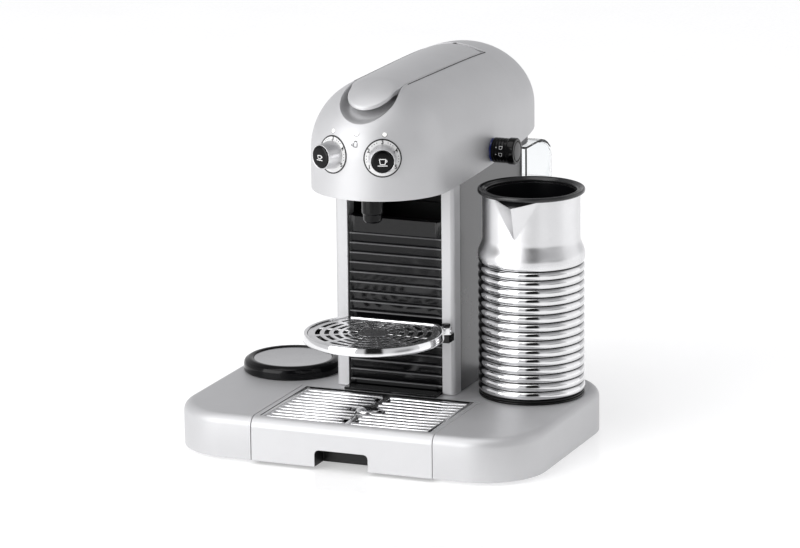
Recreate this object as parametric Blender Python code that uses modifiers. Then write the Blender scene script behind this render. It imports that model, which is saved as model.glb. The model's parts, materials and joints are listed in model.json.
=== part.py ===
"""Pod coffee machine with a cup warmer on its left wing and a milk frother jug on its right wing.

Metres, +Z up, the user stands on the -Y side. The origin is on the table, under the middle of the machine.
Places along Y are given as distances behind the front face of the base: behind(d) turns one into a Y.
"""

import math

import bmesh
import bpy
from mathutils import Matrix, Vector

# ---- driving dimensions --------------------------------------------------------------------------------

GAP = 0.0003  # between pieces that touch
SEAM = 0.0006  # open seams between covers
WALL = 0.0025  # moulded covers

DEPTH = 0.387  # whole machine, front of the base to the back of the tank
BASE_WIDTH = 0.346
BASE_HEIGHT = 0.043
FOOT_HEIGHT = 0.003
FOOT_RADIUS = 0.009
WING_DEPTH = 0.244
WING_CORNER = 0.057
BASE_FILLET = 0.009
TAIL_HALF = 0.062  # the narrow stretch of the base under the tank
TAIL_DEPTH = DEPTH - 0.001
PLATE_THICKNESS = 0.002

DRAWER_WIDTH = 0.174
DRAWER_DEPTH = 0.118
DRAWER_RIM = 0.005  # flat rim left and right of the grid
DRAWER_LEDGE = 0.0025
HANDLE_WIDTH = 0.051
HANDLE_HEIGHT = 0.0155
HANDLE_DEPTH = 0.020
HANDLE_CORNER = 0.004
GRID_THICKNESS = 0.003
GRID_BARS = 11
GRID_BAR_WIDTH = 0.0052
GRID_HOLE_RADIUS = 0.0135
FLOAT_RADIUS = 0.0105
FLOAT_TRAVEL = 0.004

COLUMN_HALF = 0.05785
COLUMN_FRONT = 0.130
COLUMN_BACK = 0.305
PILLAR_WIDTH = 0.012
PILLAR_DEPTH = 0.016
PILLAR_ROUND = 0.0035
HEAD_OVERLAP = 0.010  # how far the column reaches up inside the head

CONTAINER_DEPTH = 0.078
CONTAINER_HEIGHT = 0.158
CONTAINER_WALL = 0.002
CONTAINER_FRONT_WALL = 0.005
RIB_COUNT = 15
RIB_PITCH = 0.0089
RIB_GROOVE = 0.0035
RIB_GROOVE_DEPTH = 0.0022
RIB_FIRST_Z = 0.054

HEAD_BOTTOM_Z = 0.239
HEAD_RADIUS = 0.064
HEAD_ARCH_HEIGHT = 0.065
HEAD_WALL_HEIGHT = 0.035  # straight side between the rim and the arch
HEAD_DOME = 0.1043  # centre of the round front
HEAD_BACK = 0.352
HEAD_RIM_RISE = 0.23  # how fast the rim rises towards the back, per metre squared
HEAD_SHELL = 0.0025

LEVER_TIP = 0.0590
LEVER_REAR_HALF = 0.028
LEVER_NECK_HALF = 0.0235
LEVER_NECK = 0.096
PADDLE_RADIUS = 0.0208
LEVER_PIN = 0.272
LEVER_OVERHANG = 0.0075  # lever behind its pin
LEVER_PIN_DROP = 0.0165  # pin below the lever's top
LEVER_THICKNESS = 0.007
LEVER_PIN_RADIUS = 0.003
PIN_PLAY = 0.00015
SCOOP_RADIUS = 0.0258
SCOOP_FRONT = 0.0487
BAY_DEPTH = 0.0125
CHUTE_FRONT = 0.135
CHUTE_LENGTH = 0.038
CHUTE_HALF = 0.0165
PISTON_TRAVEL = 0.020
BAY_REAR_GAP = 0.0038

DIAL_OFFSET = 0.0245
DIAL_RADIUS = 0.017
DIAL_HEIGHT = 0.004  # above the start of the arch
DIAL_THICKNESS = 0.006
KNOB_RADIUS = 0.0125
KNOB_TIP_RADIUS = 0.0108
KNOB_LENGTH = 0.0143
SHAFT_RADIUS = 0.005
SHAFT_PLAY = 0.0004
CAP_RADIUS = 0.0096
CAP_PROUD = 0.0012
CAP_THICKNESS = 0.0045
CAP_TRAVEL = 0.0015
LIGHT_RADIUS = 0.002
LIGHT_HEIGHT = 0.0245

SIDE_KNOB = 0.213
SIDE_KNOB_HEIGHT = 0.016  # above the head's rim
SIDE_KNOB_RADIUS = 0.0115
SIDE_FLANGE_RADIUS = 0.0123
SIDE_KNOB_LENGTH = 0.0235
SIDE_FLANGE = 0.007

SPOUT = 0.080
SPOUT_RADIUS = 0.00975
SPOUT_DROP = 0.028

TRAY_RADIUS = 0.0638
TRAY_TOP_Z = 0.1108
TRAY_HEIGHT = 0.008
TRAY_CENTRE = 0.0792
TRAY_BACK = 0.126
TRAY_RIM = 0.0035
TRAY_FLOOR = 0.002
TRAY_RINGS = 3
TRAY_SPOKES = 12
SWIVEL_X = 0.054
SWIVEL = 0.120
SWIVEL_RADIUS = 0.0025
KNUCKLE_RADIUS = 0.0052

WING_OFFSET = 0.0033  # dock and warmer stand this far outside the middle of their wings
WARMER = 0.169
WARMER_RADIUS = 0.0457
WARMER_HEIGHT = 0.012
WARMER_PLATE_RADIUS = 0.0362

JUG = 0.1665
JUG_RADIUS = 0.0485
JUG_NECK_RADIUS = JUG_RADIUS - 0.0043
JUG_WALL = 0.001
JUG_HEIGHT = 0.1884
JUG_BASE_HEIGHT = 0.0015
JUG_RIBS = 15
JUG_RIB_PITCH = 0.0079
JUG_RIB_DEPTH = 0.0022
JUG_SHOULDER = 0.0135
JUG_BAND = 0.009
JUG_RIM_HEIGHT = 0.0046
POT_GAP = 0.0012
LIP_REACH = 0.0065
LIP_HALF = 0.020
LIP_DROP = 0.036
WHISK_RADIUS = 0.013

TANK_FRONT = 0.308
TANK_HALF = 0.0615
TANK_TOP_Z = 0.238
TANK_SHOULDER = 0.045
TANK_CORNER = 0.014
TANK_WALL = 0.0025
LID_THICKNESS = 0.0025

# ---- values worked out from them -----------------------------------------------------------------------

FRONT_Y = -DEPTH / 2
HALF_WIDTH = BASE_WIDTH / 2
DRAWER_HALF = DRAWER_WIDTH / 2
COLUMN_TOP_Z = HEAD_BOTTOM_Z + HEAD_OVERLAP
ARCH_Z = HEAD_BOTTOM_Z + HEAD_WALL_HEIGHT
HEAD_TOP_Z = ARCH_Z + HEAD_ARCH_HEIGHT
WING_MIDDLE = (HALF_WIDTH + COLUMN_HALF) / 2 + WING_OFFSET
BAY_HALF = COLUMN_HALF - PILLAR_WIDTH
DIAL_Z = ARCH_Z + DIAL_HEIGHT
SIDE_KNOB_Z = HEAD_BOTTOM_Z + SIDE_KNOB_HEIGHT
CHASSIS_Z = HEAD_BOTTOM_Z + 0.004


def behind(distance):
    """Y of a place this far behind the base's front face."""
    return FRONT_Y + distance


# ---- Blender helpers -----------------------------------------------------------------------------------


def clear_scene():
    for obj in list(bpy.data.objects):
        bpy.data.objects.remove(obj, do_unlink=True)


def new_collection(name):
    collection = bpy.data.collections.new(name)
    bpy.context.scene.collection.children.link(collection)
    return collection


def material(name, colour, roughness, metallic=0.0, alpha=1.0):
    mat = bpy.data.materials.new(name)
    mat.use_nodes = True
    shader = mat.node_tree.nodes["Principled BSDF"]
    shader.inputs["Base Color"].default_value = (*colour, 1.0)
    shader.inputs["Roughness"].default_value = roughness
    shader.inputs["Metallic"].default_value = metallic
    shader.inputs["Alpha"].default_value = alpha
    return mat


def link(name, mesh, place=None):
    obj = bpy.data.objects.new(name, mesh)
    PARTS.objects.link(obj)
    if place is not None:
        obj.matrix_world = place
    return obj


def as_cutter(obj):
    """Turns an object into a hidden Boolean operand."""
    obj.name = "cutter_" + obj.name
    PARTS.objects.unlink(obj)
    CUTTERS.objects.link(obj)
    obj.hide_render = True
    obj.display_type = "WIRE"
    return obj


def boolean(obj, other, operation):
    modifier = obj.modifiers.new(operation.lower(), "BOOLEAN")
    modifier.operation = operation
    modifier.object = as_cutter(other) if other.name in PARTS.objects else other
    return obj


def cut(obj, *others):
    for other in others:
        boolean(obj, other, "DIFFERENCE")
    return obj


def add(obj, *others):
    for other in others:
        boolean(obj, other, "UNION")
    return obj


def keep_inside(obj, other):
    return boolean(obj, other, "INTERSECT")


def finish(obj, mat, smooth=True):
    """Gives a piece its material and its shading."""
    obj.data.materials.clear()
    obj.data.materials.append(mat)
    if smooth:
        obj.data.shade_smooth()
        obj.data.set_sharp_from_angle(angle=math.radians(35))
    return obj


def box(name, low, high):
    """A box between two corners."""
    bm = bmesh.new()
    bmesh.ops.create_cube(bm, size=1.0)
    low, high = Vector(low), Vector(high)
    size = high - low
    bmesh.ops.scale(bm, vec=size, verts=bm.verts)
    bmesh.ops.translate(bm, vec=(low + high) / 2, verts=bm.verts)
    mesh = bpy.data.meshes.new(name)
    bm.to_mesh(mesh)
    bm.free()
    return link(name, mesh)


def aim(origin, direction):
    """A placement whose local Z points along direction."""
    turn = Vector(direction).to_track_quat("Z", "Y").to_matrix().to_4x4()
    return Matrix.Translation(Vector(origin)) @ turn


def rod(name, radius, start, end, sides=24, end_radius=None):
    """A cylinder or cone from one point to another."""
    start, end = Vector(start), Vector(end)
    bm = bmesh.new()
    bmesh.ops.create_cone(
        bm,
        cap_ends=True,
        segments=sides,
        radius1=radius,
        radius2=radius if end_radius is None else end_radius,
        depth=(end - start).length,
    )
    mesh = bpy.data.meshes.new(name)
    bm.to_mesh(mesh)
    bm.free()
    return link(name, mesh, aim((start + end) / 2, end - start))


def prism(name, outline, low, high, axis="Z"):
    """A flat outline carried from low to high along Z, along X as (y, z), or along Y as (x, z)."""
    curve = bpy.data.curves.new(name, "CURVE")
    curve.dimensions = "2D"
    curve.fill_mode = "BOTH"
    curve.extrude = (high - low) / 2
    spline = curve.splines.new("POLY")
    spline.points.add(len(outline) - 1)
    for point, (a, b) in zip(spline.points, outline):
        point.co = (a, b, 0.0, 1.0)
    spline.use_cyclic_u = True
    guide = bpy.data.objects.new(name, curve)
    PARTS.objects.link(guide)
    middle = (low + high) / 2
    if axis == "Z":
        guide.matrix_world = Matrix.Translation((0, 0, middle))
    elif axis == "X":
        turn = Matrix(((0, 0, 1, 0), (1, 0, 0, 0), (0, 1, 0, 0), (0, 0, 0, 1)))
        guide.matrix_world = Matrix.Translation((middle, 0, 0)) @ turn
    else:
        turn = Matrix(((1, 0, 0, 0), (0, 0, -1, 0), (0, 1, 0, 0), (0, 0, 0, 1)))
        guide.matrix_world = Matrix.Translation((0, middle, 0)) @ turn
    bpy.context.view_layer.update()
    graph = bpy.context.evaluated_depsgraph_get()
    mesh = bpy.data.meshes.new_from_object(guide.evaluated_get(graph))
    place = guide.matrix_world.copy()
    bpy.data.objects.remove(guide)
    bm = bmesh.new()
    bm.from_mesh(mesh)
    bmesh.ops.remove_doubles(bm, verts=bm.verts, dist=1e-6)
    bmesh.ops.dissolve_limit(bm, angle_limit=0.01, verts=bm.verts, edges=bm.edges)
    bmesh.ops.recalc_face_normals(bm, faces=bm.faces)
    bm.to_mesh(mesh)
    bm.free()
    mesh.name = name
    return link(name, mesh, place)


def turned(name, profile, centre, direction=(0, 0, 1), steps=32, ring=False):
    """A profile of (radius, height) turned round the local Z axis; a ring's profile is a closed loop."""
    bm = bmesh.new()
    points = [bm.verts.new((radius, 0.0, height)) for radius, height in profile]
    for a, b in zip(points, points[1:] + points[:1] if ring else points[1:]):
        bm.edges.new((a, b))
    mesh = bpy.data.meshes.new(name)
    bm.to_mesh(mesh)
    bm.free()
    obj = link(name, mesh, aim(centre, direction))
    modifier = obj.modifiers.new("turn", "SCREW")
    modifier.axis = "Z"
    modifier.steps = modifier.render_steps = steps
    modifier.use_merge_vertices = True
    modifier.merge_threshold = 1e-5
    modifier.use_smooth_shade = True
    return obj


def arc(centre, radius, start, end, count):
    """Points of an arc, in degrees, with both ends."""
    step = (end - start) / (count - 1)
    angles = [math.radians(start + step * i) for i in range(count)]
    return [(centre[0] + radius * math.cos(a), centre[1] + radius * math.sin(a)) for a in angles]


def rounded_box_outline(low, high, radius, count=5):
    """A rectangle with four round corners, counter-clockwise."""
    (x0, y0), (x1, y1) = low, high
    r = radius
    return (
        arc((x1 - r, y0 + r), r, -90, 0, count)
        + arc((x1 - r, y1 - r), r, 0, 90, count)
        + arc((x0 + r, y1 - r), r, 90, 180, count)
        + arc((x0 + r, y0 + r), r, 180, 270, count)
    )


def round_edges(obj, width, chosen, segments=4):
    """Rounds the edges for which chosen(first, second) is true."""
    mesh = obj.data
    weights = mesh.attributes.new("bevel_weight_edge", "FLOAT", "EDGE")
    place = obj.matrix_world
    for edge in mesh.edges:
        ends = [place @ mesh.vertices[i].co for i in edge.vertices]
        weights.data[edge.index].value = 1.0 if chosen(*ends) else 0.0
    modifier = obj.modifiers.new("round", "BEVEL")
    modifier.limit_method = "WEIGHT"
    modifier.width = width
    modifier.segments = segments
    return obj


def solid_between(name, rings):
    """A closed loft through rings of points; the first and last rings may fold up into a line."""
    bm = bmesh.new()
    rows = [[bm.verts.new(point) for point in ring] for ring in rings]
    count = len(rings[0])
    for first, second in zip(rows, rows[1:]):
        for i in range(count):
            j = (i + 1) % count
            bm.faces.new((first[i], first[j], second[j], second[i]))
    bmesh.ops.remove_doubles(bm, verts=bm.verts, dist=1e-6)
    bmesh.ops.recalc_face_normals(bm, faces=bm.faces)
    mesh = bpy.data.meshes.new(name)
    bm.to_mesh(mesh)
    bm.free()
    return link(name, mesh)


# ---- base ----------------------------------------------------------------------------------------------


def base_outline(inset, seam):
    """The wings and the tail, with the drawer's bay cut in from the front."""
    half = HALF_WIDTH - inset
    corner = WING_CORNER - inset
    front, back = behind(inset), behind(WING_DEPTH - inset)
    bay_half = DRAWER_HALF + seam + inset
    bay_back = behind(DRAWER_DEPTH + seam + inset)
    tail = TAIL_HALF - inset
    tail_back = behind(TAIL_DEPTH - inset)
    tail_corner = TANK_CORNER - inset
    right = (
        [(bay_half, bay_back), (bay_half, front)]
        + arc((half - corner, front + corner), corner, -90, 0, 8)
        + arc((half - corner, back - corner), corner, 0, 90, 8)
        + [(tail, back)]
        + arc((tail - tail_corner, tail_back - tail_corner), tail_corner, 0, 90, 4)
    )
    return right + [(-x, y) for x, y in reversed(right)]


def on_wing_rim(inset, top):
    """True for the top edges that run round the outside of the wings."""
    half = DRAWER_HALF + SEAM + inset

    def chosen(first, second):
        for point in (first, second):
            if abs(point.z - top) > 1e-5 or point.y > behind(WING_DEPTH - inset) + 1e-5:
                return False
            in_bay = abs(point.x) < half + 1e-5 and point.y > behind(inset) + 1e-5
            if in_bay and point.y < behind(WING_DEPTH - inset) - 1e-5:
                return False
        return (first - second).length > 1e-5

    return chosen


def base_solid(name, inset, low, top, segments):
    solid = prism(name, base_outline(inset, SEAM), low, top)
    return round_edges(solid, BASE_FILLET - inset, on_wing_rim(inset, top), segments)


def make_base(mats):
    shell = base_solid("base_shell", 0.0, FOOT_HEIGHT, BASE_HEIGHT, 4)
    hollow = base_solid("base_hollow", WALL, FOOT_HEIGHT - 0.01, BASE_HEIGHT - WALL, 2)
    cut(shell, hollow)
    inlet_z = FOOT_HEIGHT + 0.019
    inlet_y = behind(TAIL_DEPTH - 0.05)
    inlet_hole = rod(
        "inlet_hole", 0.0065, (-TAIL_HALF - 0.01, inlet_y, inlet_z), (-TAIL_HALF + 0.01, inlet_y, inlet_z)
    )
    cut(shell, inlet_hole)
    finish(shell, mats["silver_base"])

    inlet = turned(
        "cord_inlet",
        [(0.0, 0.0025), (0.0085, 0.0025), (0.0085, 0.0003), (0.0060, 0.0003), (0.0060, -0.008), (0.0, -0.008)],
        (-TAIL_HALF, inlet_y, inlet_z),
        (-1, 0, 0),
        20,
    )
    finish(inlet, mats["black_rubber"])

    bottom = FOOT_HEIGHT + GAP
    plate = prism("base_plate", base_outline(WALL + GAP, SEAM), bottom, bottom + PLATE_THICKNESS)
    finish(plate, mats["black_plate"], smooth=False)

    foot_x = HALF_WIDTH - 0.035
    for side, x in (("left", -foot_x), ("right", foot_x)):
        for place, y in (("front", behind(0.045)), ("rear", behind(WING_DEPTH - 0.045))):
            foot = turned(
                f"foot_{place}_{side}",
                [(0.0, FOOT_HEIGHT), (FOOT_RADIUS, FOOT_HEIGHT), (FOOT_RADIUS - 0.001, 0.0), (0.0, 0.0)],
                (x, y, 0.0),
                steps=20,
            )
            finish(foot, mats["foot_rubber"])


def make_warmer(mats):
    centre = (-WING_MIDDLE, behind(WARMER), BASE_HEIGHT + GAP)
    r, h, well = WARMER_RADIUS, WARMER_HEIGHT, WARMER_PLATE_RADIUS
    body = turned(
        "cup_warmer_body",
        [
            (0.0, h - 0.0035),
            (well + GAP, h - 0.0035),
            (well + GAP, h - 0.0004),
            (well + 0.0015, h),
            (r - 0.0035, h),
            (r - 0.001, h - 0.001),
            (r, h - 0.0035),
            (r, 0.0),
            (0.0, 0.0),
        ],
        centre,
        steps=40,
    )
    finish(body, mats["black_gloss"])
    plate = turned(
        "cup_warmer_plate",
        [(0.0, h - 0.0012), (well, h - 0.0012), (well, h - 0.0032), (0.0, h - 0.0032)],
        centre,
        steps=40,
    )
    finish(plate, mats["warmer_steel"])
    heater_z = BASE_HEIGHT - WALL - GAP
    heater = rod(
        "cup_warmer_heater",
        WARMER_PLATE_RADIUS - 0.003,
        (centre[0], centre[1], heater_z - 0.003),
        (centre[0], centre[1], heater_z),
        32,
    )
    finish(heater, mats["heater_foil"])


def make_drawer(mats):
    half, back = DRAWER_HALF, behind(DRAWER_DEPTH)
    low, top = FOOT_HEIGHT, BASE_HEIGHT
    drawer = box("drip_drawer", (-half, FRONT_Y, low), (half, back, top))

    def front_top(first, second):
        return all(abs(p.z - top) < 1e-5 and abs(p.y - FRONT_Y) < 1e-5 for p in (first, second))

    round_edges(drawer, BASE_FILLET, front_top, 4)
    seat_z = top - GRID_THICKNESS - GAP
    seat_half = half - DRAWER_RIM
    seat_front, seat_back = behind(BASE_FILLET), back - 0.002
    seat = box("grid_seat", (-seat_half, seat_front, seat_z), (seat_half, seat_back, top + 0.01))
    well_half = seat_half - DRAWER_LEDGE
    well_front, well_back = seat_front + DRAWER_LEDGE, seat_back - DRAWER_LEDGE
    well = box("drip_well", (-well_half, well_front, low + WALL), (well_half, well_back, seat_z + 0.005))
    pocket_half = HANDLE_WIDTH / 2
    guard = box(
        "pocket_guard",
        (-pocket_half - WALL, FRONT_Y - 0.01, low - 0.01),
        (pocket_half + WALL, behind(HANDLE_DEPTH + WALL), low + HANDLE_HEIGHT + WALL),
    )
    cut(well, guard)
    r = HANDLE_CORNER
    handle_top = low + HANDLE_HEIGHT
    handle_outline = (
        [(-pocket_half, low - 0.01), (pocket_half, low - 0.01)]
        + arc((pocket_half - r, handle_top - r), r, 0, 90, 4)
        + arc((-pocket_half + r, handle_top - r), r, 90, 180, 4)
    )
    pocket = prism("handle_pocket", handle_outline, FRONT_Y - 0.02, behind(HANDLE_DEPTH), "Y")
    cut(drawer, seat, well, pocket)
    finish(drawer, mats["silver_drawer"])
    make_grid(mats, seat_half, seat_front, seat_back, seat_z)
    make_float(mats, seat_z)


def grid_middle():
    """Y of the middle of the drip grid."""
    return (behind(BASE_FILLET) + behind(DRAWER_DEPTH) - 0.002) / 2


def make_grid(mats, seat_half, seat_front, seat_back, seat_z):
    low, high = seat_z + GAP, seat_z + GAP + GRID_THICKNESS
    half = seat_half - GAP
    grid = box("drip_grid", (-half, seat_front + GAP, low), (half, seat_back - GAP, high))
    slot_half = half - 0.003
    first, last = seat_front + 0.004, seat_back - 0.004
    pitch = (last - first + GRID_BAR_WIDTH) / GRID_BARS
    slot = pitch - GRID_BAR_WIDTH
    middle = grid_middle()
    web = GRID_HOLE_RADIUS + 0.003
    for i in range(GRID_BARS - 1):
        y = first + GRID_BAR_WIDTH + i * pitch
        near = abs(y + slot / 2 - middle) < web
        for side in (-1, 1):
            inner = web if near else 0.002
            xs = sorted((side * inner, side * slot_half))
            cut(grid, box(f"grid_slot_{i}_{side}", (xs[0], y, low - 0.01), (xs[1], y + slot, high + 0.01)))
    cut(grid, rod("float_hole", GRID_HOLE_RADIUS, (0, middle, low - 0.01), (0, middle, high + 0.01), 32))
    finish(grid, mats["chrome_grid"], smooth=False)


def make_float(mats, seat_z):
    middle = grid_middle()
    foot_z = FOOT_HEIGHT + WALL + GAP
    dome_z = seat_z + GAP
    r = FLOAT_RADIUS
    dome = [(r * math.sin(a), dome_z + 0.001 + 0.0045 * math.cos(a)) for a in (0.0, 0.5, 0.95, 1.3)]
    profile = [(0.0, dome[0][1])] + dome[1:] + [
        (r, dome_z + 0.001),
        (r, dome_z - 0.001),
        (0.004, dome_z - 0.002),
        (0.004, foot_z + 0.004),
        (0.008, foot_z + 0.002),
        (0.008, foot_z),
        (0.0, foot_z),
    ]
    float_piece = turned("drip_float", profile, (0, middle, 0.0), steps=16)
    finish(float_piece, mats["chrome_float"])


# ---- column --------------------------------------------------------------------------------------------


def make_column(mats):
    low, top = BASE_HEIGHT + GAP, COLUMN_TOP_Z
    front, back = behind(COLUMN_FRONT), behind(COLUMN_BACK)
    r = PILLAR_ROUND
    for side, name in ((1, "right"), (-1, "left")):
        outline = [
            (BAY_HALF, front),
            *arc((COLUMN_HALF - r, front + r), r, -90, 0, 5),
            (COLUMN_HALF, front + PILLAR_DEPTH),
            (BAY_HALF, front + PILLAR_DEPTH),
        ]
        pillar = prism(f"pillar_{name}", [(side * x, y) for x, y in outline], low, top)
        finish(pillar, mats["silver_pillar"])
        xs = sorted((side * (COLUMN_HALF - WALL), side * COLUMN_HALF))
        panel = box(f"side_panel_{name}", (xs[0], front + PILLAR_DEPTH + GAP, low), (xs[1], back, top))
        finish(panel, mats["silver_panel"], smooth=False)
    inner = COLUMN_HALF - WALL - GAP
    rear = box("rear_panel", (-inner, back - WALL, low), (inner, back, top))
    finish(rear, mats["grey_panel"], smooth=False)

    wall = 0.0015
    bay_front = front + PILLAR_DEPTH + GAP
    bay_back = container_back() + 0.002
    outer = BAY_HALF + 0.002
    inside = BAY_HALF + GAP
    outline = [
        (-outer, bay_front),
        (-inside, bay_front),
        (-inside, bay_back),
        (inside, bay_back),
        (inside, bay_front),
        (outer, bay_front),
        (outer, bay_back + wall),
        (-outer, bay_back + wall),
    ]
    bay = prism("bay_wall", outline, low, CHASSIS_Z - GAP)
    finish(bay, mats["black_bay"], smooth=False)

    chassis_low = CHASSIS_Z
    chassis = box(
        "head_chassis", (-inner, front + PILLAR_DEPTH + GAP, chassis_low), (inner, back - WALL - GAP, chassis_low + 0.003)
    )
    chute = box(
        "capsule_drop",
        (-CHUTE_HALF, front, chassis_low - 0.01),
        (CHUTE_HALF, behind(CHUTE_FRONT + CHUTE_LENGTH), chassis_low + 0.02),
    )
    cut(chassis, chute)
    finish(chassis, mats["black_chassis"], smooth=False)


def container_back():
    return behind(COLUMN_FRONT) + 0.002 + CONTAINER_DEPTH


def make_container(mats):
    low = BASE_HEIGHT + 0.003
    top = low - 0.001 + CONTAINER_HEIGHT
    half = BAY_HALF - 0.0006
    front, back = behind(COLUMN_FRONT) + 0.002, container_back()
    container = box("capsule_container", (-half, front, low), (half, back, top))
    wall = CONTAINER_WALL
    bin_cut = box(
        "bin_hollow",
        (-half + wall, front + CONTAINER_FRONT_WALL, low + wall),
        (half - wall, back - wall, top + 0.01),
    )
    cut(container, bin_cut)
    groove_half = half - 0.004
    for i in range(RIB_COUNT):
        z = RIB_FIRST_Z + i * RIB_PITCH
        cut(
            container,
            box(
                f"groove_{i}",
                (-groove_half, front - 0.01, z),
                (groove_half, front + RIB_GROOVE_DEPTH, z + RIB_GROOVE),
            ),
        )
    finish(container, mats["black_container"], smooth=False)
    floor = box(
        "module_floor",
        (-half, behind(DRAWER_DEPTH) - 0.0015, BASE_HEIGHT + GAP),
        (half, back - 0.002, low - GAP),
    )
    finish(floor, mats["black_floor"], smooth=False)


# ---- cup support ---------------------------------------------------------------------------------------


def make_support(mats):
    centre_y = behind(TRAY_CENTRE)
    top, low = TRAY_TOP_Z, TRAY_TOP_Z - TRAY_HEIGHT
    back = behind(TRAY_BACK)
    r, rim = TRAY_RADIUS, TRAY_RIM
    swivel_y = behind(SWIVEL)
    tray = turned(
        "support_tray",
        [
            (0.0, low + TRAY_FLOOR),
            (r - rim, low + TRAY_FLOOR),
            (r - rim, top - 0.0008),
            (r - rim + 0.0008, top),
            (r - 0.0008, top),
            (r, top - 0.0008),
            (r, low + 0.0008),
            (r - 0.0008, low),
            (0.0, low),
        ],
        (0, centre_y, 0),
        steps=40,
    )
    behind_chord = box("tray_chord", (-r, back, low - 0.01), (r, back + r, top + 0.01))
    cut(tray, behind_chord)
    arm = box(
        "tray_arm", (SWIVEL_X - 0.016, swivel_y - 0.0045, low), (SWIVEL_X, swivel_y + 0.0045, top - 0.001)
    )
    knuckle = rod("tray_knuckle", KNUCKLE_RADIUS, (SWIVEL_X, swivel_y, low), (SWIVEL_X, swivel_y, top - 0.001))
    add(tray, arm, knuckle)
    well = rod("tray_well", r - rim, (0, centre_y, low + TRAY_FLOOR), (0, centre_y, top + 0.01), 48)
    cut(well, box("well_chord", (-r, back - 0.0015, low - 0.01), (r, back + r, top + 0.02)))
    bore_end = (SWIVEL_X, swivel_y, top + 0.01)
    bore = rod("tray_bore", SWIVEL_RADIUS + PIN_PLAY, (SWIVEL_X, swivel_y, low - 0.01), bore_end, 20)
    cut(tray, well, bore)
    finish(tray, mats["chrome_tray"])

    grid_r = r - rim - GAP
    grid_low, grid_top = top - 0.0028, top - 0.0008
    grid = rod("support_grid", grid_r, (0, centre_y, grid_low), (0, centre_y, grid_top), 48)
    cut(grid, box("support_chord", (-r, back - 0.0015 - GAP, low - 0.01), (r, back + r, top + 0.01)))
    cut_support_slots(grid, grid_r, centre_y, grid_low, grid_top)
    finish(grid, mats["chrome_support_grid"])

    bracket_top = low - GAP
    bracket = box(
        "support_bracket",
        (BAY_HALF - 0.010, swivel_y - 0.004, bracket_top - 0.007),
        (SWIVEL_X + 0.004, behind(COLUMN_FRONT) - 0.001, bracket_top),
    )
    hole = rod(
        "bracket_bore",
        SWIVEL_RADIUS + PIN_PLAY,
        (SWIVEL_X, swivel_y, bracket_top - 0.02),
        (SWIVEL_X, swivel_y, bracket_top + 0.01),
        20,
    )
    tongue = box(
        "bracket_tongue",
        (BAY_HALF - 0.010, swivel_y, bracket_top - 0.007),
        (BAY_HALF - 0.0015, behind(COLUMN_FRONT) + 0.002 - GAP, bracket_top),
    )
    add(bracket, tongue)
    cut(bracket, hole)
    finish(bracket, mats["black_bracket"], smooth=False)
    pin = turned(
        "support_pin",
        [
            (0.0, top + 0.0020),
            (SWIVEL_RADIUS + 0.0012, top + 0.0020),
            (SWIVEL_RADIUS + 0.0012, top - 0.001 + GAP),
            (SWIVEL_RADIUS, top - 0.001 + GAP),
            (SWIVEL_RADIUS, bracket_top - 0.007),
            (0.0, bracket_top - 0.007),
        ],
        (SWIVEL_X, swivel_y, 0),
        steps=20,
    )
    finish(pin, mats["black_pin"])


def cut_support_slots(grid, radius, centre_y, low, top):
    """Arc-shaped slots in rings, between spokes."""
    inner, outer = 0.014, radius - 0.005
    band = (outer - inner) / TRAY_RINGS
    for ring in range(TRAY_RINGS):
        start = inner + ring * band
        end = start + band - 0.0055
        for spoke in range(TRAY_SPOKES):
            middle = 360 / TRAY_SPOKES * (spoke + 0.5)
            half = 180 / TRAY_SPOKES - math.degrees(0.0022 / start)
            far_y = centre_y + (end + 0.003) * max(math.sin(math.radians(middle + a)) for a in (-half, half))
            if far_y > behind(TRAY_BACK) - 0.0015:
                continue
            centre = (0, centre_y)
            outline = arc(centre, end, middle - half, middle + half, 3)
            outline += arc(centre, start, middle + half, middle - half, 3)
            cut(grid, prism(f"support_slot_{ring}_{spoke}", outline, low - 0.005, top + 0.005))


# ---- head ----------------------------------------------------------------------------------------------


def head_rim_z(y):
    """Height of the head's lower rim: level in front, rising as a parabola towards the back."""
    return HEAD_BOTTOM_Z + HEAD_RIM_RISE * max(0.0, y - behind(HEAD_DOME)) ** 2


def head_stations(inset):
    """(y, width share, height share) along the head: a round front, then a blunt round back."""
    radius = HEAD_RADIUS - inset
    dome_y, back_y = behind(HEAD_DOME), behind(HEAD_BACK) - inset
    length = back_y - (dome_y + 0.0357)
    stations = []
    for i in range(9):
        angle = math.pi / 2 * i / 8
        stations.append((dome_y - radius * math.cos(angle), math.sin(angle), math.sin(angle)))
    for u in (0.0, 0.35, 0.52, 0.65, 0.75, 0.83, 0.89, 0.94, 0.975, 0.993, 1.0):
        width = (1 - u**8.5) ** (1 / 8.5)
        height = (1 - u**5.5) ** (1 / 5.5)
        stations.append((back_y - length * (1 - u), width, height))
    return stations


def head_solid(name, inset, drop=0.0):
    """The head's form, grown inwards by inset, with its rim lowered by drop."""
    rings = []
    steps = 16
    for y, width, height in head_stations(inset):
        half = (HEAD_RADIUS - inset) * width
        rise = (HEAD_ARCH_HEIGHT - inset) * height
        rim = head_rim_z(y) - drop
        ring = [(half, y, rim)]
        for i in range(steps + 1):
            angle = math.pi * i / steps
            ring.append((half * math.cos(angle), y, ARCH_Z + rise * math.sin(angle)))
        ring.append((-half, y, rim))
        rings.append(ring)
    return solid_between(name, rings)


def lever_outline(grow, paddle, tip, rear):
    """Plan of the lever, or of its bay: straight sides that narrow to a neck, then a round end."""
    centre_y = tip + paddle
    rear_half, neck_half = LEVER_REAR_HALF + grow, LEVER_NECK_HALF + grow
    right = [(rear_half, rear), (neck_half, behind(LEVER_NECK))]
    right += [(x, y) for x, y in arc((0, centre_y), paddle, 0, -90, 9)]
    return [(x, y) for x, y in right] + [(-x, y) for x, y in reversed(right[:-1])]


def pin_place():
    """(y, z) of the lever's pin."""
    return behind(LEVER_PIN), HEAD_TOP_Z - LEVER_PIN_DROP


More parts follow.
